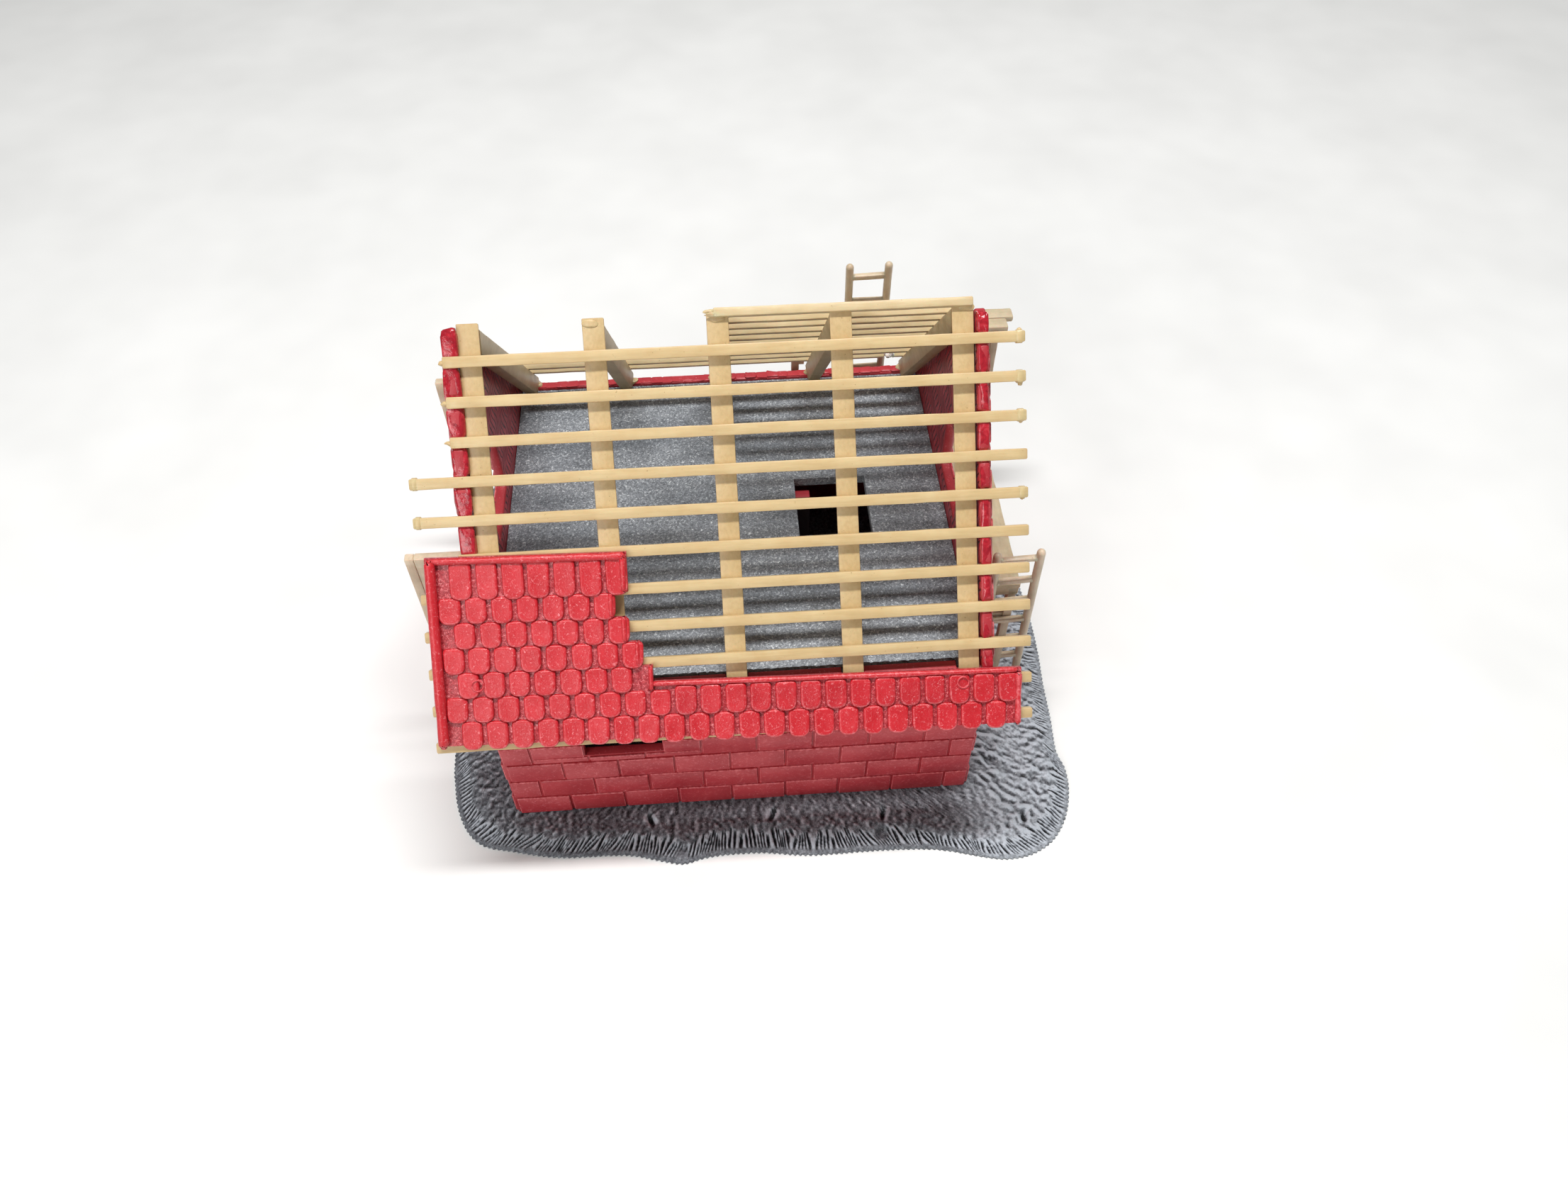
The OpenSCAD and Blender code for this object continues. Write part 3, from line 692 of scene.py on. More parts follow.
def bar(shell, start, end, face, width, depth, draft=0.0, soften=0.16 * mm, wave=0.035 * mm, seed=1,
        start_cut=None, end_cut=None, spacing=1.4 * mm):
    """Adds a moulded bar from start to end. Width lies across, depth along face, and the side away
    from face is narrower by draft. A cut is the direction that an end's face looks along."""
    start, end, face = (np.array(tuple(v), float) for v in (start, end, face))
    axis = end - start
    length = np.linalg.norm(axis)
    axis /= length
    face -= axis * (axis @ face)
    face /= np.linalg.norm(face)
    across = np.cross(axis, face)
    outline = []
    for a, b in ((1, 1), (-1, 1), (-1, -1), (1, -1)):
        half_w = width / 2 * (1 - draft if b < 0 else 1)
        corner = [(a * half_w, b * (depth / 2 - soften)),
                  (a * (half_w - 0.3 * soften), b * (depth / 2 - 0.3 * soften)),
                  (a * (half_w - soften), b * depth / 2)]
        outline += corner if a * b > 0 else corner[::-1]
    outline = np.array(outline)
    pulled = outline - np.sign(outline) * soften * 0.8
    steps = max(2, int(length / spacing))
    stations = [0] + list(np.linspace(soften, length - soften, steps)) + [length]
    verts, faces = [], []

    def skew(cut, ring):
        if cut is None:
            return np.zeros(len(ring))
        cut = np.array(tuple(cut), float)
        return -((across @ cut) * ring[:, 0] + (face @ cut) * ring[:, 1]) / (axis @ cut)

    for number, station in enumerate(stations):
        ring = pulled if number in (0, len(stations) - 1) else outline
        share = station / length
        run = station + skew(start_cut, ring) * (1 - share) + skew(end_cut, ring) * share
        points = start + run[:, None] * axis + ring[:, :1] * across + ring[:, 1:] * face
        away = ring / np.linalg.norm(ring, axis=1)[:, None]
        uneven = wave * rough(points + seed * 0.013, 2.6 * mm, seed)
        points = points + (away[:, :1] * across + away[:, 1:] * face) * uneven[:, None]
        verts += list(points)
    count = len(outline)
    for number in range(len(stations) - 1):
        faces += band(number * count, (number + 1) * count, count)
    faces.append(tuple(range(count)))
    faces.append(tuple(reversed(range(len(verts) - count, len(verts)))))
    add_shell(shell, verts, faces)


rafter_w = 3.05 * mm
rafter_d = 2.9 * mm
rafter_draft = 0.34
rafter_tan = timber_look("rafter tan", paint(208, 182, 136), paint(198, 170, 122), 0.42, 0.12, 1)
rear_tan = timber_look("rear rafter tan", paint(204, 184, 144), paint(188, 164, 122), 0.44, 0.22, 1)
plumb = Vector((0, 1, 0))
tail_down = first_batten + 10 * batten_pitch + batten_w - 0.3 * mm
for k in range(1, 6):
    name = f"front_rafter_{k}"
    rafter_low, rafter_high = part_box(name)
    x = (rafter_low.x + rafter_high.x) / 2
    shell = ([], [])
    ridge_down = rafter_d / 2 * down_front.z / down_front.y
    bar(shell, on_front(x, ridge_down, -rafter_d / 2), on_front(x, tail_down, -rafter_d / 2), out_front,
        rafter_w, rafter_d, draft=rafter_draft, seed=60 + k, start_cut=plumb)
    if k in (2, 3, 5):
        lump(shell, on_front(x + 0.3 * mm * (k - 3), 0.9 * mm, 0.02 * mm), (1.05 * mm, 0.55 * mm, 0.22 * mm),
             front_axes, 70 + k, bump=0.25, square=0.9)
    rafter = new_piece(f"front_rafter_{k}_bar", *shell, rafter_tan)
    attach(rafter, "root")
    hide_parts(name)

# The rear slope, from the battens that lie on it.
rear_pitch = 5.25 * mm
rear_lift = 1.6 * mm
rear_first, rear_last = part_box("rear_batten_1"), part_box("rear_batten_10")
down_rear = (rear_last[0] + rear_last[1]) - (rear_first[0] + rear_first[1])
down_rear = Vector((0, down_rear.y, down_rear.z)).normalized()
out_rear = Vector((0, -down_rear.z, down_rear.y))
rear_ridge = (rear_first[0] + rear_first[1]) / 2
rear_ridge = Vector((0, rear_ridge.y, rear_ridge.z))
rear_ridge -= down_rear * (batten_w / 2 - rear_lift) + out_rear * batten_t / 2


def on_rear(x, down, out):
    """A point on the rear slope, down from the ridge and out from the rafters' top faces."""
    return rear_ridge + Vector((x, 0, 0)) + down_rear * down + out_rear * out


rear_axes = ((1, 0, 0), down_rear, out_rear)


wall_low, wall_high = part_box("rear_wall")
for k in range(1, 6):
    name = f"rear_rafter_{k}"
    rafter_low, rafter_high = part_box(name)
    x = (rafter_low.x + rafter_high.x) / 2
    shell = ([], [])
    ridge_down = -rafter_d / 2 * down_rear.z / down_rear.y
    seat_down = (wall_low.y + 0.9 * mm) / down_rear.y + ridge_down
    tail = (rafter_high.y - 0.2 * mm) / down_rear.y
    bar(shell, on_rear(x, ridge_down, -rafter_d / 2), on_rear(x, seat_down, -rafter_d / 2), out_rear,
        rafter_w - 0.15 * mm, rafter_d, draft=0.3, seed=80 + k, start_cut=plumb, end_cut=plumb)
    # The tail past the wall is thinner, and a small shoe of glue holds the foot.
    bar(shell, on_rear(x, seat_down - 3.0 * mm, -0.9 * mm), on_rear(x, tail, -0.9 * mm), out_rear, 2.0 * mm,
        1.7 * mm, draft=0.1, seed=90 + k, end_cut=plumb)
    lump(shell, (x, wall_low.y + 0.7 * mm, wall_high.z + 0.25 * mm), (1.9 * mm, 0.8 * mm, 0.5 * mm),
         upright, 95 + k, bump=0.3, square=0.8)
    rafter = new_piece(f"rear_rafter_{k}_bar", *shell, rear_tan)
    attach(rafter, "root")
    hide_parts(name)

# ==== Battens =========================================================================
# Eleven thin tan strips glued across the front rafters. They were nipped off their sprue,
# which left collars, points and small nubs at their ends.

batten_tan = timber_look("batten tan", paint(212, 188, 142), paint(204, 176, 128), 0.38, 0.12, 0)
pointed_left = (1, 2, 3)
collar_left = (4, 5)
# How far down the slope the nub beside each right collar sits, in mm.
collar_right = {1: -0.8, 2: 1.0, 3: 0.7, 5: 0.75}
for k in range(1, 12):
    name = f"batten_{k}"
    batten_low, batten_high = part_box(name)
    down = first_batten + (k - 1) * batten_pitch + batten_w / 2
    shell = ([], [])
    mid = batten_t / 2
    left, right = batten_low.x, batten_high.x
    if k in pointed_left:
        lump(shell, on_front(left + 0.4 * mm, down + 0.1 * mm, mid), (0.75 * mm, 0.42 * mm, 0.4 * mm),
             front_axes, 100 + k, bump=0.3, square=1.3)
        left += 0.45 * mm
    bar(shell, on_front(left, down, mid), on_front(right, down, mid), out_front, batten_w, batten_t,
        draft=0.08, soften=0.15 * mm, wave=0.04 * mm, seed=110 + k)
    if k in collar_left:
        bar(shell, on_front(left + 0.05 * mm, down, mid), on_front(left + 1.3 * mm, down, mid), out_front,
            batten_w + 0.22 * mm, batten_t + 0.16 * mm, soften=0.35 * mm, seed=130 + k)
    if k in collar_right:
        bar(shell, on_front(right - 1.5 * mm, down, mid), on_front(right - 0.1 * mm, down, mid), out_front,
            batten_w + 0.25 * mm, batten_t + 0.15 * mm, soften=0.35 * mm, wave=0.12 * mm, seed=140 + k)
        nub = collar_right[k] * mm
        lump(shell, on_front(right - 0.7 * mm, down + nub, batten_t * 0.45), (0.36 * mm, 0.38 * mm, 0.3 * mm),
             front_axes, 150 + k, bump=0.3, square=0.9)
    batten = new_piece(f"{name}_strip", *shell, batten_tan)
    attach(batten, "root")
    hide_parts(name)

# ==== Rear battens ====================================================================
# Ten more strips across the right half of the rear slope. The first lies over the ridge,
# with a torn left end. The last two run on to the left gable, and the lowest one is joined
# near its right end with glue that dried pale and cracked.

# Painted light: the rear battens are a little paler than the front ones, for the backlight that glows through
# them.
rear_batten_tan = timber_look("rear batten tan", paint(216, 196, 156), paint(202, 180, 138), 0.46, 0.25, 0)
pale_glue, tree, shader, place = moulded_plastic("pale cracked glue", 0.3, glow=0.4)
cracks = speckle(tree, place, 0.7 * mm, 4, warp=2)
glue_tone = shades(tree, cracks, (0.36, paint(150, 118, 100)), (0.50, paint(226, 216, 204)),
                   (0.70, paint(250, 246, 240)))
tree.links.new(glue_tone, shader.inputs["Base Color"])
press_in(tree, shader, cracks, 0.2 * mm)
for k, name in [*((k, f"rear_batten_{k}") for k in range(1, 11)), (10, "rear_batten_10_offcut")]:
    strip_low, strip_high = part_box(name)
    middle = (k - 1) * rear_pitch - rear_lift + batten_w / 2
    left, right = strip_low.x, strip_high.x
    shell = ([], [])
    if k == 1:
        for step, stick_out in enumerate((0.9, 0.4, 0.7)):
            lump(shell, on_rear(left + 0.8 * mm, middle + (step - 1) * 0.5 * mm, (0.3 + 0.3 * step) * mm),
                 ((0.7 + stick_out) * mm, 0.3 * mm, 0.3 * mm), rear_axes, 180 + step, bump=0.4,
                 square=1.3)
        left += 0.7 * mm
    bar(shell, on_rear(left, middle, batten_t / 2), on_rear(right, middle, batten_t / 2), out_rear, batten_w,
        batten_t, draft=0.06, soften=0.14 * mm, wave=0.045 * mm, seed=160 + k)
    if name == "rear_batten_10_offcut":
        for x in (left - 0.4 * mm, left + 0.3 * mm, left - 1.0 * mm):
            lump(shell, on_rear(x, middle + 0.1 * mm, batten_t * 0.4), (0.6 * mm, 0.75 * mm, 0.5 * mm),
                 rear_axes, 190 + int(x / mm), bump=0.4, square=0.8)
    strip = new_piece(f"{name}_strip", *shell, rear_batten_tan, pale_glue)
    if name == "rear_batten_10_offcut":
        for face in strip.data.polygons:
            face.material_index = 1 if face.center.x < left + 0.6 * mm else 0
    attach(strip, "root")
    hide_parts(name)

# ==== Tile sheet ======================================================================
# One bright red moulding of beaver-tail tiles. Every tile is a raised pad with a rounded
# lower end that stands over the row below. A verge bead runs down its left edge and a thin
# rim along its top. Its edges are pale: painted highlights, with some frosting where the mould
# scuffed them. The grooves between the tiles are painted darker as shade, with pale scratches.

tile_top = 31.7 * mm
first_row = 5.7 * mm
tile_row = 3.6 * mm
tile_step = 3.6 * mm
tile_w = 2.98 * mm
tile_lift = 0.72 * mm
sheet_left = -2.5 * bay
sheet_right = 2.45 * bay
sheet_turn = math.radians(1.15)
bed_out = batten_t + 0.75 * mm
row_lows = [tile_top + first_row + r * tile_row for r in range(7)]
row_tops = [tile_top] + row_lows[:-1]
row_ends = [-0.855 * bay] + [(-1.08 + 0.1 * r) * bay for r in range(1, 5)] + [sheet_right, sheet_right]
strip_rise = 1.2 * mm

tile_plastic, tree, shader, place = moulded_plastic("frosted tile red", 0.30, glow=0.14, gloss=0.55)
cloud = speckle(tree, place, 4 * mm, 3)
crumbs = speckle(tree, place, 0.30 * mm, 4, warp=1.0)
body_red = shades(tree, cloud, (0.30, paint(188, 22, 34)), (0.70, paint(206, 42, 52)))
with_crumbs = mixed(tree, mask(tree, crumbs, 0.58, 0.72), body_red, paint(238, 146, 150))
# Painted highlight, with some frosting: points with an edge value turn pale pink, most at the tiles' lower
# ends, on the beads and round the ejector marks.
ragged = speckle(tree, place, 0.5 * mm, 4)
frost_and_highlight = mask(tree, reckoned(tree, "MULTIPLY", stored(tree, "edge"), ragged), 0.34, 0.62)
frosted = mixed(tree, frost_and_highlight, with_crumbs, paint(228, 112, 118))
# Painted shade: the bed in the grooves between the tiles is a darker, duller red, with pale scratches.
groove_shade_and_scratches = shades(tree, crumbs, (0.42, paint(150, 28, 38)), (0.56, paint(190, 62, 70)),
               (0.70, paint(236, 156, 158)))
tree.links.new(mixed(tree, stored(tree, "groove"), frosted, groove_shade_and_scratches), shader.inputs["Base Color"])
press_in(tree, shader, crumbs, 0.10 * mm, 0.6)


def tile_shape(length):
    """A tile seen from above, in the slope's frame: soft shoulders and a rounded lower end."""
    half = tile_w / 2
    outline = []
    shoulder = 0.6 * mm
    for turn in np.linspace(0, 90, 5):
        outline.append((half - shoulder + shoulder * math.cos(math.radians(turn)),
                        -shoulder + shoulder * math.sin(math.radians(turn))))
    outline += [(-x, y) for x, y in outline[::-1]]
    rounding = 1.35 * mm
    for turn in np.linspace(180, 360, 15):
        bend = math.radians(turn)
        flat_x = math.copysign(abs(math.cos(bend)) ** 0.72, math.cos(bend))
        flat_y = math.copysign(abs(math.sin(bend)) ** 0.86, math.sin(bend))
        outline.append((half * flat_x, -length + rounding + rounding * flat_y))
    return np.array(outline)


def make_tile(name, length):
    """One tile, thin at its upper end and thick at its lower end, with pale edges: painted highlights, with
    some frosting.
    """
    outline = tile_shape(length)
    middle = np.array((0, -length / 2))
    rings = ((0.0, -0.45, 0.2), (0.0, 0.55, 0.3), (0.10, 0.86, 0.85), (0.28, 1.0, 0.95), (0.48, 1.02, 0.2),
             (0.70, 0.98, 0.0))
    verts, edges = [], []
    for inset, lift, frost_and_highlight_amount in rings:
        away = outline - middle
        ring = outline - away / np.linalg.norm(away, axis=1)[:, None] * inset * mm
        for x, y in ring:
            raised = 0.55 + 0.45 * min(1, max(0, -y / length))
            verts.append((x, y, tile_lift * lift * (raised if lift > 0 else 1)))
            edges.append(frost_and_highlight_amount * (0.55 + 0.45 * min(1, max(0, -y / length))))
    count = len(outline)
    faces = [tuple(range(count)), tuple(range(len(verts) - count, len(verts)))]
    for ring in range(len(rings) - 1):
        faces += band(ring * count, (ring + 1) * count, count)
    tile = new_piece(name, verts, faces, tile_plastic, crease=60)
    with_edges(tile, edges)
    bpy.context.scene.collection.objects.unlink(tile)
    return tile


def row_tree(name, tilt_most, sizes=None):
    """Geometry tree that sets copies of one piece in a row, each a little out of true. The sizes
    are the least and most of each copy along its own axes."""
    tree = bpy.data.node_groups.new(name, "GeometryNodeTree")
    for label, kind in (("Piece", "Object"), ("Count", "Int"), ("First place", "Vector"), ("Step", "Vector"),
                        ("Seed", "Int"), ("Finish", "Material")):
        tree.interface.new_socket(name=label, in_out="INPUT", socket_type="NodeSocket" + kind)
    tree.interface.new_socket(name="Geometry", in_out="OUTPUT", socket_type="NodeSocketGeometry")
    given = tree.nodes.new("NodeGroupInput").outputs
    line = add_node(tree, "GeometryNodeMeshLine", {
        "Count": given["Count"], "Start Location": given["First place"], "Offset": given["Step"]})
    piece = add_node(tree, "GeometryNodeObjectInfo", {"Object": given["Piece"]})

    def scattered(seed, least, most):
        chance = add_node(tree, "FunctionNodeRandomValue", {"Seed": seed}, data_type="FLOAT_VECTOR")
        chance.inputs["Min"].default_value = least
        chance.inputs["Max"].default_value = most
        return chance.outputs["Value"]

    laid = {"Points": line.outputs["Mesh"], "Instance": piece.outputs["Geometry"],
            "Rotation": scattered(given["Seed"], [-turn for turn in tilt_most], tilt_most)}
    if sizes:
        laid["Scale"] = scattered(reckoned(tree, "ADD", given["Seed"], 50.0), *sizes)
    laid = add_node(tree, "GeometryNodeInstanceOnPoints", laid)
    real = add_node(tree, "GeometryNodeRealizeInstances", {"Geometry": laid.outputs["Instances"]})
    painted = add_node(tree, "GeometryNodeSetMaterial", {
        "Geometry": real.outputs["Geometry"], "Material": given["Finish"]})
    result = tree.nodes.new("NodeGroupOutput")
    tree.links.new(painted.outputs["Geometry"], result.inputs["Geometry"])
    return tree


def grown(tree, name, **values):
    """Runs a geometry tree with the given inputs and returns the plain mesh that it makes."""
    holder = bpy.data.objects.new(name, bpy.data.meshes.new(name))
    bpy.context.scene.collection.objects.link(holder)
    modifier = holder.modifiers.new("grow", "NODES")
    modifier.node_group = tree
    for item in tree.interface.items_tree:
        key = item.name.replace(" ", "_").lower()
        if item.in_out == "INPUT" and key in values:
            modifier[item.identifier] = values[key]
    bpy.context.view_layer.update()
    mesh = bpy.data.meshes.new_from_object(holder.evaluated_get(bpy.context.evaluated_depsgraph_get()))
    bpy.data.objects.remove(holder)
    return mesh


tile_rows = row_tree("lay a row of tiles", (0.020, 0.035, 0.022), ((0.96, 0.985, 0.94), (1.03, 1.02, 1.05)))
tile_kinds = {0: make_tile("tile_of_the_first_row", first_row - 0.35 * mm),
              1: make_tile("tile_of_a_row", tile_row + 0.12 * mm),
              6: make_tile("tile_of_the_last_row", tile_row + 0.5 * mm)}
sheet = bmesh.new()
edge_layer = sheet.verts.layers.float.new("edge")
groove_layer = sheet.verts.layers.float.new("groove")
last_tile_x = -0.945 * bay


def lay_row(row, kind, first_x, end_x, seed):
    """Lays one row of tiles from first_x to end_x and adds it to the sheet."""
    count = int((end_x - first_x - tile_w * 0.25) / tile_step) + 1
    overlap = (0.75 if row == 0 else 0.08) * mm
    mesh = grown(tile_rows, f"row_{row + 1}", piece=kind, count=count, finish=tile_plastic, seed=seed,
                 first_place=(first_x, -row_tops[row] - overlap, bed_out), step=(tile_step, 0, 0))
    sheet.from_mesh(mesh)
    bpy.data.meshes.remove(mesh)


for row in range(7):
    shift = last_tile_x if row % 2 == 0 else last_tile_x - tile_step / 2
    left_limit = sheet_left + 0.6 * mm + tile_w / 2
    first_x = shift - math.floor((shift - left_limit) / tile_step) * tile_step
    lay_row(row, tile_kinds.get(row, tile_kinds[1]), first_x, row_ends[row] - 0.2 * mm, 200 + row)
first_long = -0.62 * bay
long_tile = make_tile("tile_of_the_strip", tile_row + strip_rise - 0.55 * mm)
last_row6 = last_tile_x - tile_step / 2
first_x = last_row6 + math.ceil((first_long - last_row6) / tile_step) * tile_step
count = int((sheet_right - 1.2 * mm - first_x) / tile_step) + 1
mesh = grown(tile_rows, "strip_row", piece=long_tile, count=count, finish=tile_plastic, seed=210,
             first_place=(first_x, -row_tops[5] + strip_rise - 0.7 * mm, bed_out + 0.03 * mm),
             step=(tile_step, 0, 0))
sheet.from_mesh(mesh)
bpy.data.meshes.remove(mesh)
for vert in sheet.verts:
    vert[groove_layer] = 0.0


def in_sheet(x, minus_down):
    """Whether the sheet covers this spot of the slope."""
    down = -minus_down
    if x > row_ends[4] + 0.1 * mm:
        return down > row_tops[5] - strip_rise
    for row in range(7):
        if row_tops[row] <= down <= row_lows[row]:
            return x < row_ends[row]
    return False


x_cuts = cuts_between(sheet_left, sheet_right, 0.45 * mm, *row_ends[:5])
y_cuts = cuts_between(-row_lows[-1], -tile_top, 0.45 * mm, *[-t for t in row_tops], -row_tops[5] + strip_rise)
bed_verts, bed_faces = slab(x_cuts, y_cuts, in_sheet, lambda x, y: bed_out, batten_t + 0.02 * mm)
bed_verts = np.array(bed_verts)
is_top = bed_verts[:, 2] > bed_out - 0.01 * mm
bed_verts[is_top, 2] += (0.10 * mm * rough(bed_verts[is_top, :2], 0.7 * mm, 221)
                         + 0.08 * mm * rough(bed_verts[is_top, :2], 0.5 * mm, 222))
numbers = [sheet.verts.new(v) for v in bed_verts]
for vert, top in zip(numbers, is_top):
    vert[groove_layer] = 1.0
    vert[edge_layer] = 0.0
for face in bed_faces:
    sheet.faces.new([numbers[i] for i in face])


def bead(start, end, width, depth, seed, frost_and_highlight_amount=0.75, wave=0.10 * mm):
    """Adds a rounded bead to the sheet, between two points of the slope's frame."""
    shell = ([], [])
    bar(shell, start, end, (0, 0, 1), width, depth, soften=min(width, depth) * 0.42, wave=wave, seed=seed,
        spacing=0.7 * mm)
    made = [sheet.verts.new(v) for v in shell[0]]
    for vert in made:
        vert[groove_layer] = 0.0
        vert[edge_layer] = frost_and_highlight_amount
    for face in shell[1]:
        sheet.faces.new([made[i] for i in face])


bead_out = bed_out + 0.25 * mm
sheet_foot = -row_lows[-1]
strip_top = -row_tops[5] + strip_rise
# The verge bead on the left, and the rim along the top.
verge_x = sheet_left + 0.8 * mm
verge_out = bead_out + 0.25 * mm
bead((verge_x, -tile_top - 0.2 * mm, verge_out), (verge_x, sheet_foot - 0.2 * mm, verge_out), 1.5 * mm,
     1.7 * mm, 231, 0.25, 0.06 * mm)
top_y = -tile_top - 0.55 * mm
bead((sheet_left + 0.3 * mm, top_y, bead_out), (row_ends[0] - 0.1 * mm, top_y, bead_out), 1.0 * mm, 1.1 * mm,
     232, 0.6)
# Short beads down the stepped edge.
step_x = row_ends[0] - 0.55 * mm
bead((step_x, -tile_top - 0.6 * mm, bead_out), (step_x, -row_lows[0] - 0.1 * mm, bead_out), 0.8 * mm,
     1.2 * mm, 233, 0.6)
for row in range(1, 5):
    step_x = row_ends[row] - 0.35 * mm
    bead((step_x, -row_tops[row] + 0.1 * mm, bead_out - 0.1 * mm),
         (step_x, -row_lows[row], bead_out - 0.1 * mm), 0.6 * mm, 1.2 * mm, 233 + row, 0.6)
# The rim of the low strip, and its right end.
rim_y = strip_top - 0.3 * mm
rim_out = bead_out - 0.15 * mm
end_x = sheet_right - 0.5 * mm
end_out = bead_out - 0.05 * mm
bead((row_ends[4] - 0.4 * mm, rim_y, rim_out), (end_x, rim_y, rim_out), 0.7 * mm, 1.0 * mm, 240, 0.7)
bead((end_x, strip_top - 0.6 * mm, end_out), (end_x, sheet_foot - 0.1 * mm, end_out), 0.9 * mm, 1.3 * mm,
     241, 0.8)
# Round marks where ejector pins touched the soft sheet.
mark_sides = 24
for mark_x, mark_down in ((-39.9 * mm + tile_step, row_tops[4] + 1.9 * mm),
                          (sheet_right - 8.6 * mm, row_tops[5] + 0.6 * mm)):
    mark_rings = [bmesh.ops.create_circle(sheet, cap_ends=False, segments=mark_sides, radius=r * mm)["verts"]
                  for r in (0.95, 0.82, 0.68)]
    for ring, raised in zip(mark_rings, (0.0, 0.16, 0.0)):
        for vert in ring:
            vert.co += Vector((mark_x, -mark_down, bed_out + tile_lift * 0.86 + raised * mm))
            vert[edge_layer] = 0.9
    for ring, inner in zip(mark_rings, mark_rings[1:] + mark_rings[:1]):
        for i in range(mark_sides):
            beside = (i + 1) % mark_sides
            sheet.faces.new((ring[i], ring[beside], inner[beside], inner[i]))
# The sheet was glued on a little askew: it turns about its upper left corner.
corner = Matrix.Translation((sheet_left, -tile_top, 0))
to_slope = Matrix((
    (1, 0, 0, front_ridge.x),
    (0, -down_front.y, out_front.y, front_ridge.y),
    (0, -down_front.z, out_front.z, front_ridge.z),
    (0, 0, 0, 1))) @ corner @ Matrix.Rotation(-sheet_turn, 4, "Z") @ corner.inverted()
sheet.transform(to_slope)
bmesh.ops.recalc_face_normals(sheet, faces=sheet.faces)
mesh = bpy.data.meshes.new("tiled_sheet")
sheet.to_mesh(mesh)
sheet.free()
mesh.materials.clear()
mesh.materials.append(tile_plastic)
mesh.shade_smooth()
mesh.set_sharp_from_angle(angle=math.radians(60))
tiles = bpy.data.objects.new("tiled_sheet", mesh)
bpy.context.scene.collection.objects.link(tiles)
for kind in (*tile_kinds.values(), long_tile):
    bpy.data.objects.remove(kind)
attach(tiles, "root")
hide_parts("tile_sheet")

# ==== Ladders =========================================================================
# Two greyish tan mouldings that lean in the corners: round rails with domed tops and flat
# rungs that widen where they meet the rails.

ladder_w = 6.8 * mm
rung_pitch = 5.8 * mm
pole_d = 1.4 * mm
scaffold_tan = timber_look("scaffold tan", paint(224, 208, 182), paint(196, 176, 148), 0.40, 0.22, 2)


def round_rail(shell, foot, length, seed):
    """Adds a round rail that stands on its foot and ends in a dome."""
    around = 16
    heights = list(np.linspace(0, length - pole_d / 2, 26))
    sizes = [pole_d / 2] * len(heights)
    for turn in (25, 50, 72):
        heights.append(length - pole_d / 2 + math.sin(math.radians(turn)) * pole_d / 2)
        sizes.append(math.cos(math.radians(turn)) * pole_d / 2)
    ring_turns = np.linspace(0, 2 * math.pi, around, endpoint=False)
    verts = [(foot[0] + math.cos(t) * r, foot[1] + math.sin(t) * r, z) for z, r in zip(heights, sizes)
             for t in ring_turns]
    verts = np.array(verts)
    verts[:, :2] += 0.03 * mm * rough(verts, 2.5 * mm, seed)[:, None]
    verts = list(map(tuple, verts)) + [(foot[0], foot[1], length)]
    faces = [tuple(reversed(range(around)))]
    for ring in range(len(heights) - 1):
        faces += band(ring * around, (ring + 1) * around, around)
    top = len(verts) - 1
    faces += [(top - around + i, top - around + (i + 1) % around, top) for i in range(around)]
    add_shell(shell, verts, faces)


def rung_shape():
    """One flat rung that widens where it meets the rails."""
    shell = ([], [])
    half = ladder_w / 2 - 0.3 * mm
    bar(shell, (-half, 0, 0), (half, 0, 0), (0, 0, 1), 0.95 * mm, 1.1 * mm, draft=0.15, soften=0.25 * mm,
        seed=250)
    for side in (-1, 1):
        lump(shell, (side * (half - 0.35 * mm), 0, 0), (0.45 * mm, 0.52 * mm, 0.66 * mm),
             upright, 252 + side, bump=0.1, square=0.9, columns=12, rows=8)
    return new_piece("one_rung", *shell, scaffold_tan)


rungs = row_tree("set the rungs", (0.10, 0.012, 0.02))
rung = rung_shape()
bpy.context.scene.collection.objects.unlink(rung)
for name, foot, lean_x, lean_y, length, top_gap, seed in (
        ("side_ladder", (2.748 * bay, -0.679 * bay, ground), 5.3, -3.0, 38.3 * mm, 2.0 * mm, 260),
        ("rear_ladder", (1.646 * bay, 2.787 * bay, ground), 8.1, -1.1, 53.6 * mm, 3.0 * mm, 270)):
    shell = ([], [])
    round_rail(shell, (-ladder_w / 2, 0), length, seed)
    round_rail(shell, (ladder_w / 2, 0), length, seed + 1)
    ladder = new_piece(name + "_moulding", *shell, scaffold_tan)
    count = int((length - top_gap - 3 * mm) / rung_pitch) + 1
    mesh = grown(rungs, name + "_rungs", piece=rung, count=count, first_place=(0, 0, length - top_gap),
                 step=(0, 0, -rung_pitch), seed=seed + 2, finish=scaffold_tan)
    both = bmesh.new()
    both.from_mesh(ladder.data)
    both.from_mesh(mesh)
    both.transform(Matrix.Translation(foot) @ Matrix.Rotation(math.radians(lean_y), 4, "Y")
                   @ Matrix.Rotation(math.radians(lean_x), 4, "X"))
    both.to_mesh(ladder.data)
    both.free()
    bpy.data.meshes.remove(mesh)
    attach(ladder, "root")
    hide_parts(name)
bpy.data.objects.remove(rung)

# ==== Walkways and posts ==============================================================
# Pale tan planks on trestles beside the right gable and on posts behind the house, with an
# arched bracket at each end of the rear beam. Left of the house two posts already carry
# their bearers, but no planks.

plank_cream = timber_look("walkway cream", paint(222, 208, 176), paint(186, 168, 136), 0.44, 0.30, 1)


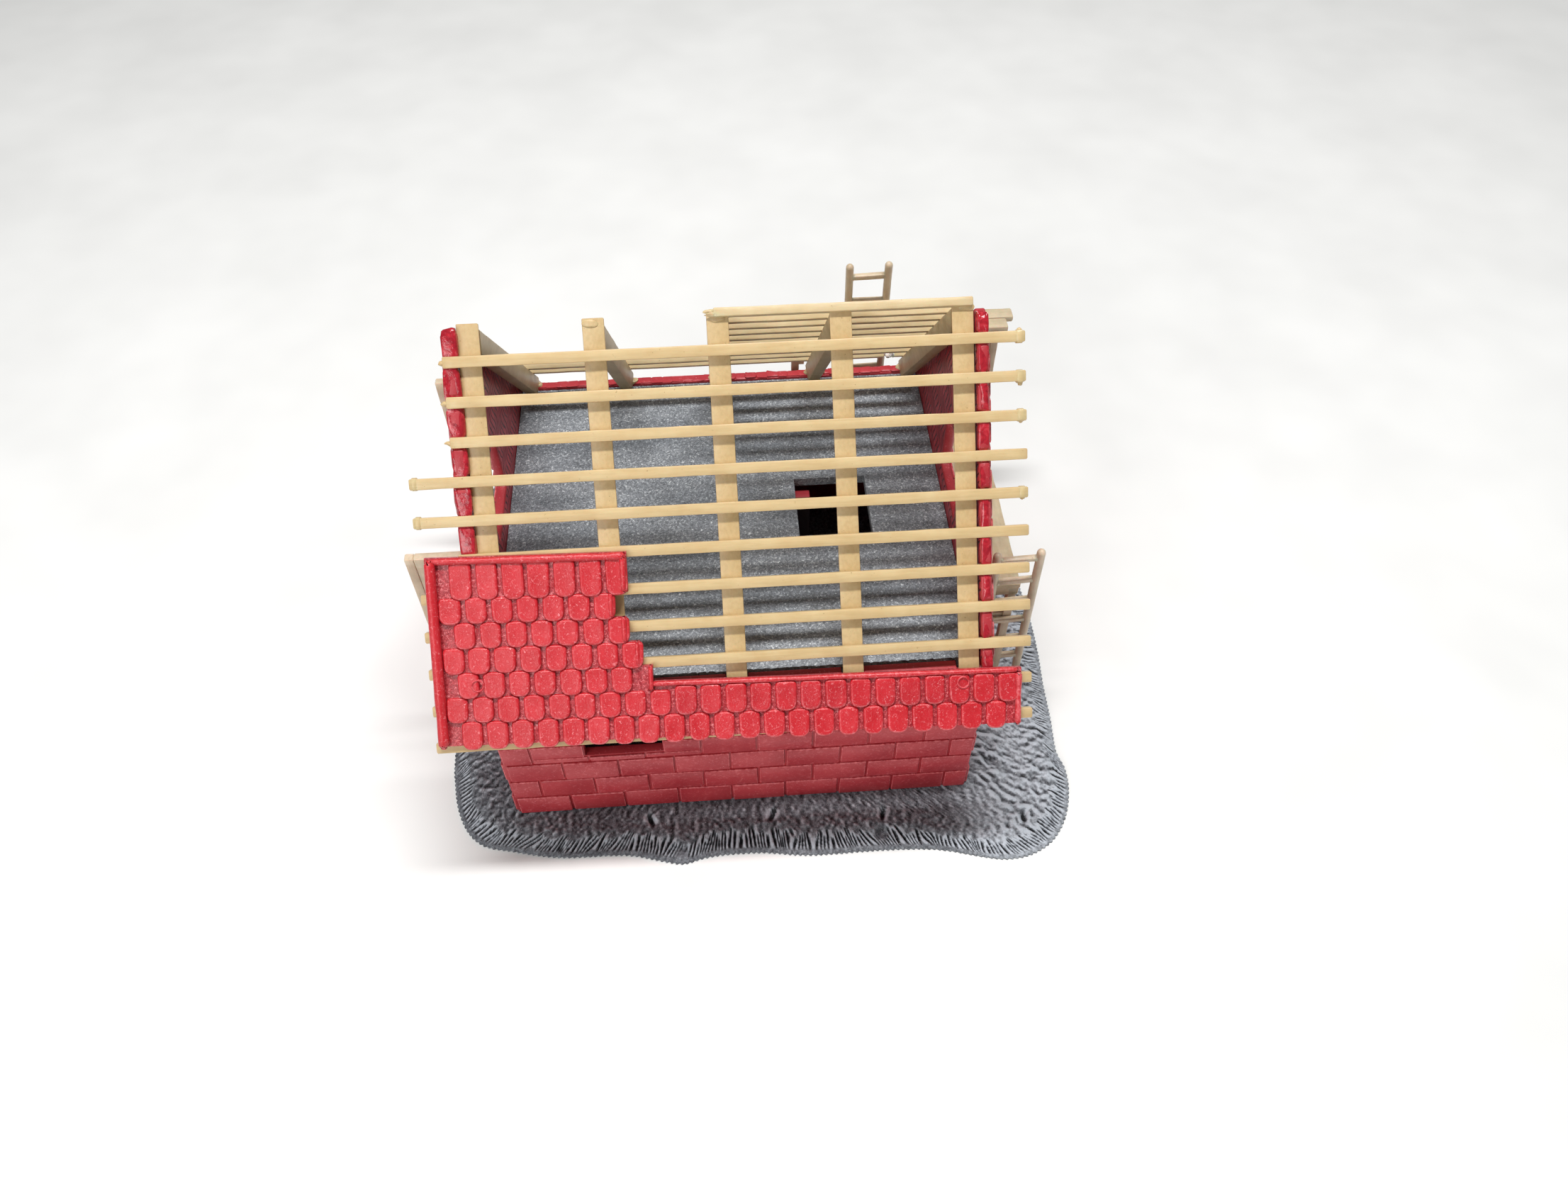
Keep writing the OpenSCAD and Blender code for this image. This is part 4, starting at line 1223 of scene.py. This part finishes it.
def box_bar(shell, low, high, axis, seed, soften=0.16 * mm, wave=0.05 * mm):
    """Adds a bar that fills a box, along one axis."""
    middle = (Vector(low) + Vector(high)) / 2
    start, end = middle.copy(), middle.copy()
    start[axis], end[axis] = low[axis], high[axis]
    face = Vector((0, 0, 1)) if axis != 2 else Vector((0, 1, 0))
    size = Vector(high) - Vector(low)
    depth_axis = max(range(3), key=lambda i: abs(face[i]))
    width_axis = 3 - axis - depth_axis
    bar(shell, start, end, face, size[width_axis], size[depth_axis], soften=soften, wave=wave, seed=seed)


for number, name in enumerate(("side_deck_inner_plank", "side_deck_outer_plank")):
    low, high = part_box(name)
    shell = ([], [])
    box_bar(shell, low, high, 1, 280 + number, soften=0.2 * mm, wave=0.08 * mm)
    plank = new_piece(name + "_board", *shell, plank_cream)
    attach(plank, "root")
    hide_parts(name)

for number, name in enumerate(("side_deck_front_trestle", "side_deck_rear_trestle")):
    low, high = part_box(name)
    leg = 1 * mm
    shell = ([], [])
    for side, x in enumerate((low.x + leg, high.x - leg)):
        box_bar(shell, (x - pole_d / 2, low.y, low.z), (x + pole_d / 2, high.y, high.z - 0.3 * mm), 2,
                290 + 4 * number + side)
    box_bar(shell, (low.x, low.y, high.z - 2 * mm), (high.x, high.y, high.z), 0, 300 + number)
    box_bar(shell, (low.x + leg, low.y + 0.2 * mm, high.z - 8.5 * mm),
            (high.x - leg, high.y - 0.2 * mm, high.z - 7 * mm), 0, 302 + number)
    trestle = new_piece(name + "_frame", *shell, scaffold_tan)
    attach(trestle, "root")
    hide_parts(name)

deck_cream = timber_look("rear walkway cream", paint(224, 210, 180), paint(190, 172, 140), 0.44, 0.30, 0)
for number, name in enumerate(("rear_deck_near_plank", "rear_deck_far_plank")):
    low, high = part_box(name)
    shell = ([], [])
    box_bar(shell, low, high, 0, 310 + number, soften=0.2 * mm, wave=0.08 * mm)
    plank = new_piece(name + "_board", *shell, deck_cream)
    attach(plank, "root")
    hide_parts(name)


def cut_plate(shell, outline, to_space, thickness):
    """Adds a flat plate cut to an outline: to_space turns a point and a depth into space."""
    count = len(outline)
    verts = [to_space(p, 0) for p in outline] + [to_space(p, thickness) for p in outline]
    faces = [tuple(range(count)), tuple(reversed(range(count, 2 * count)))]
    add_shell(shell, verts, faces + band(0, count, count))


low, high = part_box("rear_deck_ledger")
beam_h = 2 * mm
knee = 5 * mm
shell = ([], [])
box_bar(shell, (low.x, low.y, high.z - beam_h), high, 0, 320)
for post, turned in (("rear_deck_left_post", 1), ("rear_deck_right_post", -1)):
    post_low, post_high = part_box(post)
    corner_x = post_high.x if turned > 0 else post_low.x
    curve = knee - 0.9 * mm
    bends = [math.radians(turn) for turn in range(0, 91, 10)]
    arch = [(knee, 0)] + [(knee - curve * math.sin(t), -knee + curve * math.cos(t)) for t in bends]
    arch += [(0, -knee), (0, 0)]
    cut_plate(shell, arch, lambda p, depth: (corner_x + turned * p[0], low.y + 0.2 * mm + depth,
                                             high.z - beam_h + p[1]), 1 * mm)
ledger = new_piece("rear_deck_beam", *shell, scaffold_tan)
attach(ledger, "root")
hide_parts("rear_deck_ledger")

for number, name in enumerate(("rear_deck_left_post", "rear_deck_right_post", "left_front_post",
                               "left_rear_post")):
    low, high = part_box(name)
    shell = ([], [])
    box_bar(shell, low, high, 2, 330 + number)
    post = new_piece(name + "_bar", *shell, scaffold_tan)
    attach(post, "root")
    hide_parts(name)

for number, name in enumerate(("left_front_bearer", "left_rear_bearer")):
    low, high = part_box(name)
    shell = ([], [])
    box_bar(shell, (low.x, low.y, high.z - beam_h), high, 0, 340 + number)
    strut = [(0, 0), (0, -8 * mm), (5.5 * mm, -1 * mm), (5.5 * mm, 0)]
    cut_plate(shell, strut, lambda p, depth: (low.x + p[0], low.y + 0.2 * mm + depth,
                                              high.z - beam_h + p[1]), 1 * mm)
    bearer = new_piece(name + "_bar", *shell, scaffold_tan)
    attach(bearer, "root")
    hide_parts(name)

# ==== Floor, light and camera =========================================================
# A plain white table, a bright room, a long ceiling lamp and a window on the left.

bpy.context.scene.view_settings.view_transform = "Standard"
table_mesh = bpy.data.meshes.new("table")
table_mesh.from_pydata([(-2, -2, 0), (2, -2, 0), (2, 2, 0), (-2, 2, 0)], [], [(0, 1, 2, 3)])
table_white, tree, shader, place = moulded_plastic("table white", 0.8, gloss=0.2)
cloud = speckle(tree, place, 30 * mm, 2)
paper = shades(tree, cloud, (0.3, paint(232, 232, 230)), (0.7, paint(240, 240, 238)))
tree.links.new(paper, shader.inputs["Base Color"])
table_mesh.materials.append(table_white)
table = bpy.data.objects.new("table", table_mesh)
bpy.context.scene.collection.objects.link(table)

room = bpy.data.worlds.new("bright room")
bpy.context.scene.world = room
room.use_nodes = True
room.node_tree.nodes["Background"].inputs["Color"].default_value = (1.0, 1.0, 1.0, 1)
room.node_tree.nodes["Background"].inputs["Strength"].default_value = 0.24


def soft_lamp(name, place, turn, length, width, power):
    """A lamp with a long and a short side, which shines down unless it is turned."""
    lamp = bpy.data.lights.new(name, "AREA")
    lamp.shape = "RECTANGLE"
    lamp.size = length
    lamp.size_y = width
    lamp.energy = power
    holder = bpy.data.objects.new(name, lamp)
    holder.location = place
    holder.rotation_euler = [math.radians(angle) for angle in turn]
    bpy.context.scene.collection.objects.link(holder)


# The ceiling lamp runs along the ridge, so that the battens throw soft bands on the floor.
soft_lamp("ceiling lamp", (0.03, 0, 0.60), (0, 0, 0), 0.36, 0.045, 3.4)
soft_lamp("window", (-0.30, -0.45, 0.30), (60, 0, -34), 0.30, 0.30, 1.3)

look_down = math.radians(50.55)
look_aside = math.radians(4.02)
tilt = math.radians(-0.08)
pitch_part = Matrix(((1, 0, 0), (0, -math.sin(look_down), -math.cos(look_down)),
                     (0, math.cos(look_down), -math.sin(look_down))))
yaw_part = Matrix.Rotation(look_aside, 3, "Z")
tilt_part = Matrix.Rotation(tilt, 3, "Z")
view = tilt_part @ pitch_part @ yaw_part
camera_data = bpy.data.cameras.new("camera")
camera_data.lens = 27.14
camera_data.sensor_width = 36
camera_data.clip_start = 0.01
camera = bpy.data.objects.new("camera", camera_data)
turned = Matrix((view[0], -view[1], -view[2])).transposed()
camera_place = (-0.009 * bay, -7.815 * bay, 10.318 * bay + ground)
camera.matrix_world = Matrix.Translation(camera_place) @ turned.to_4x4()
bpy.context.scene.collection.objects.link(camera)
bpy.context.scene.camera = camera

bpy.context.view_layer.update()
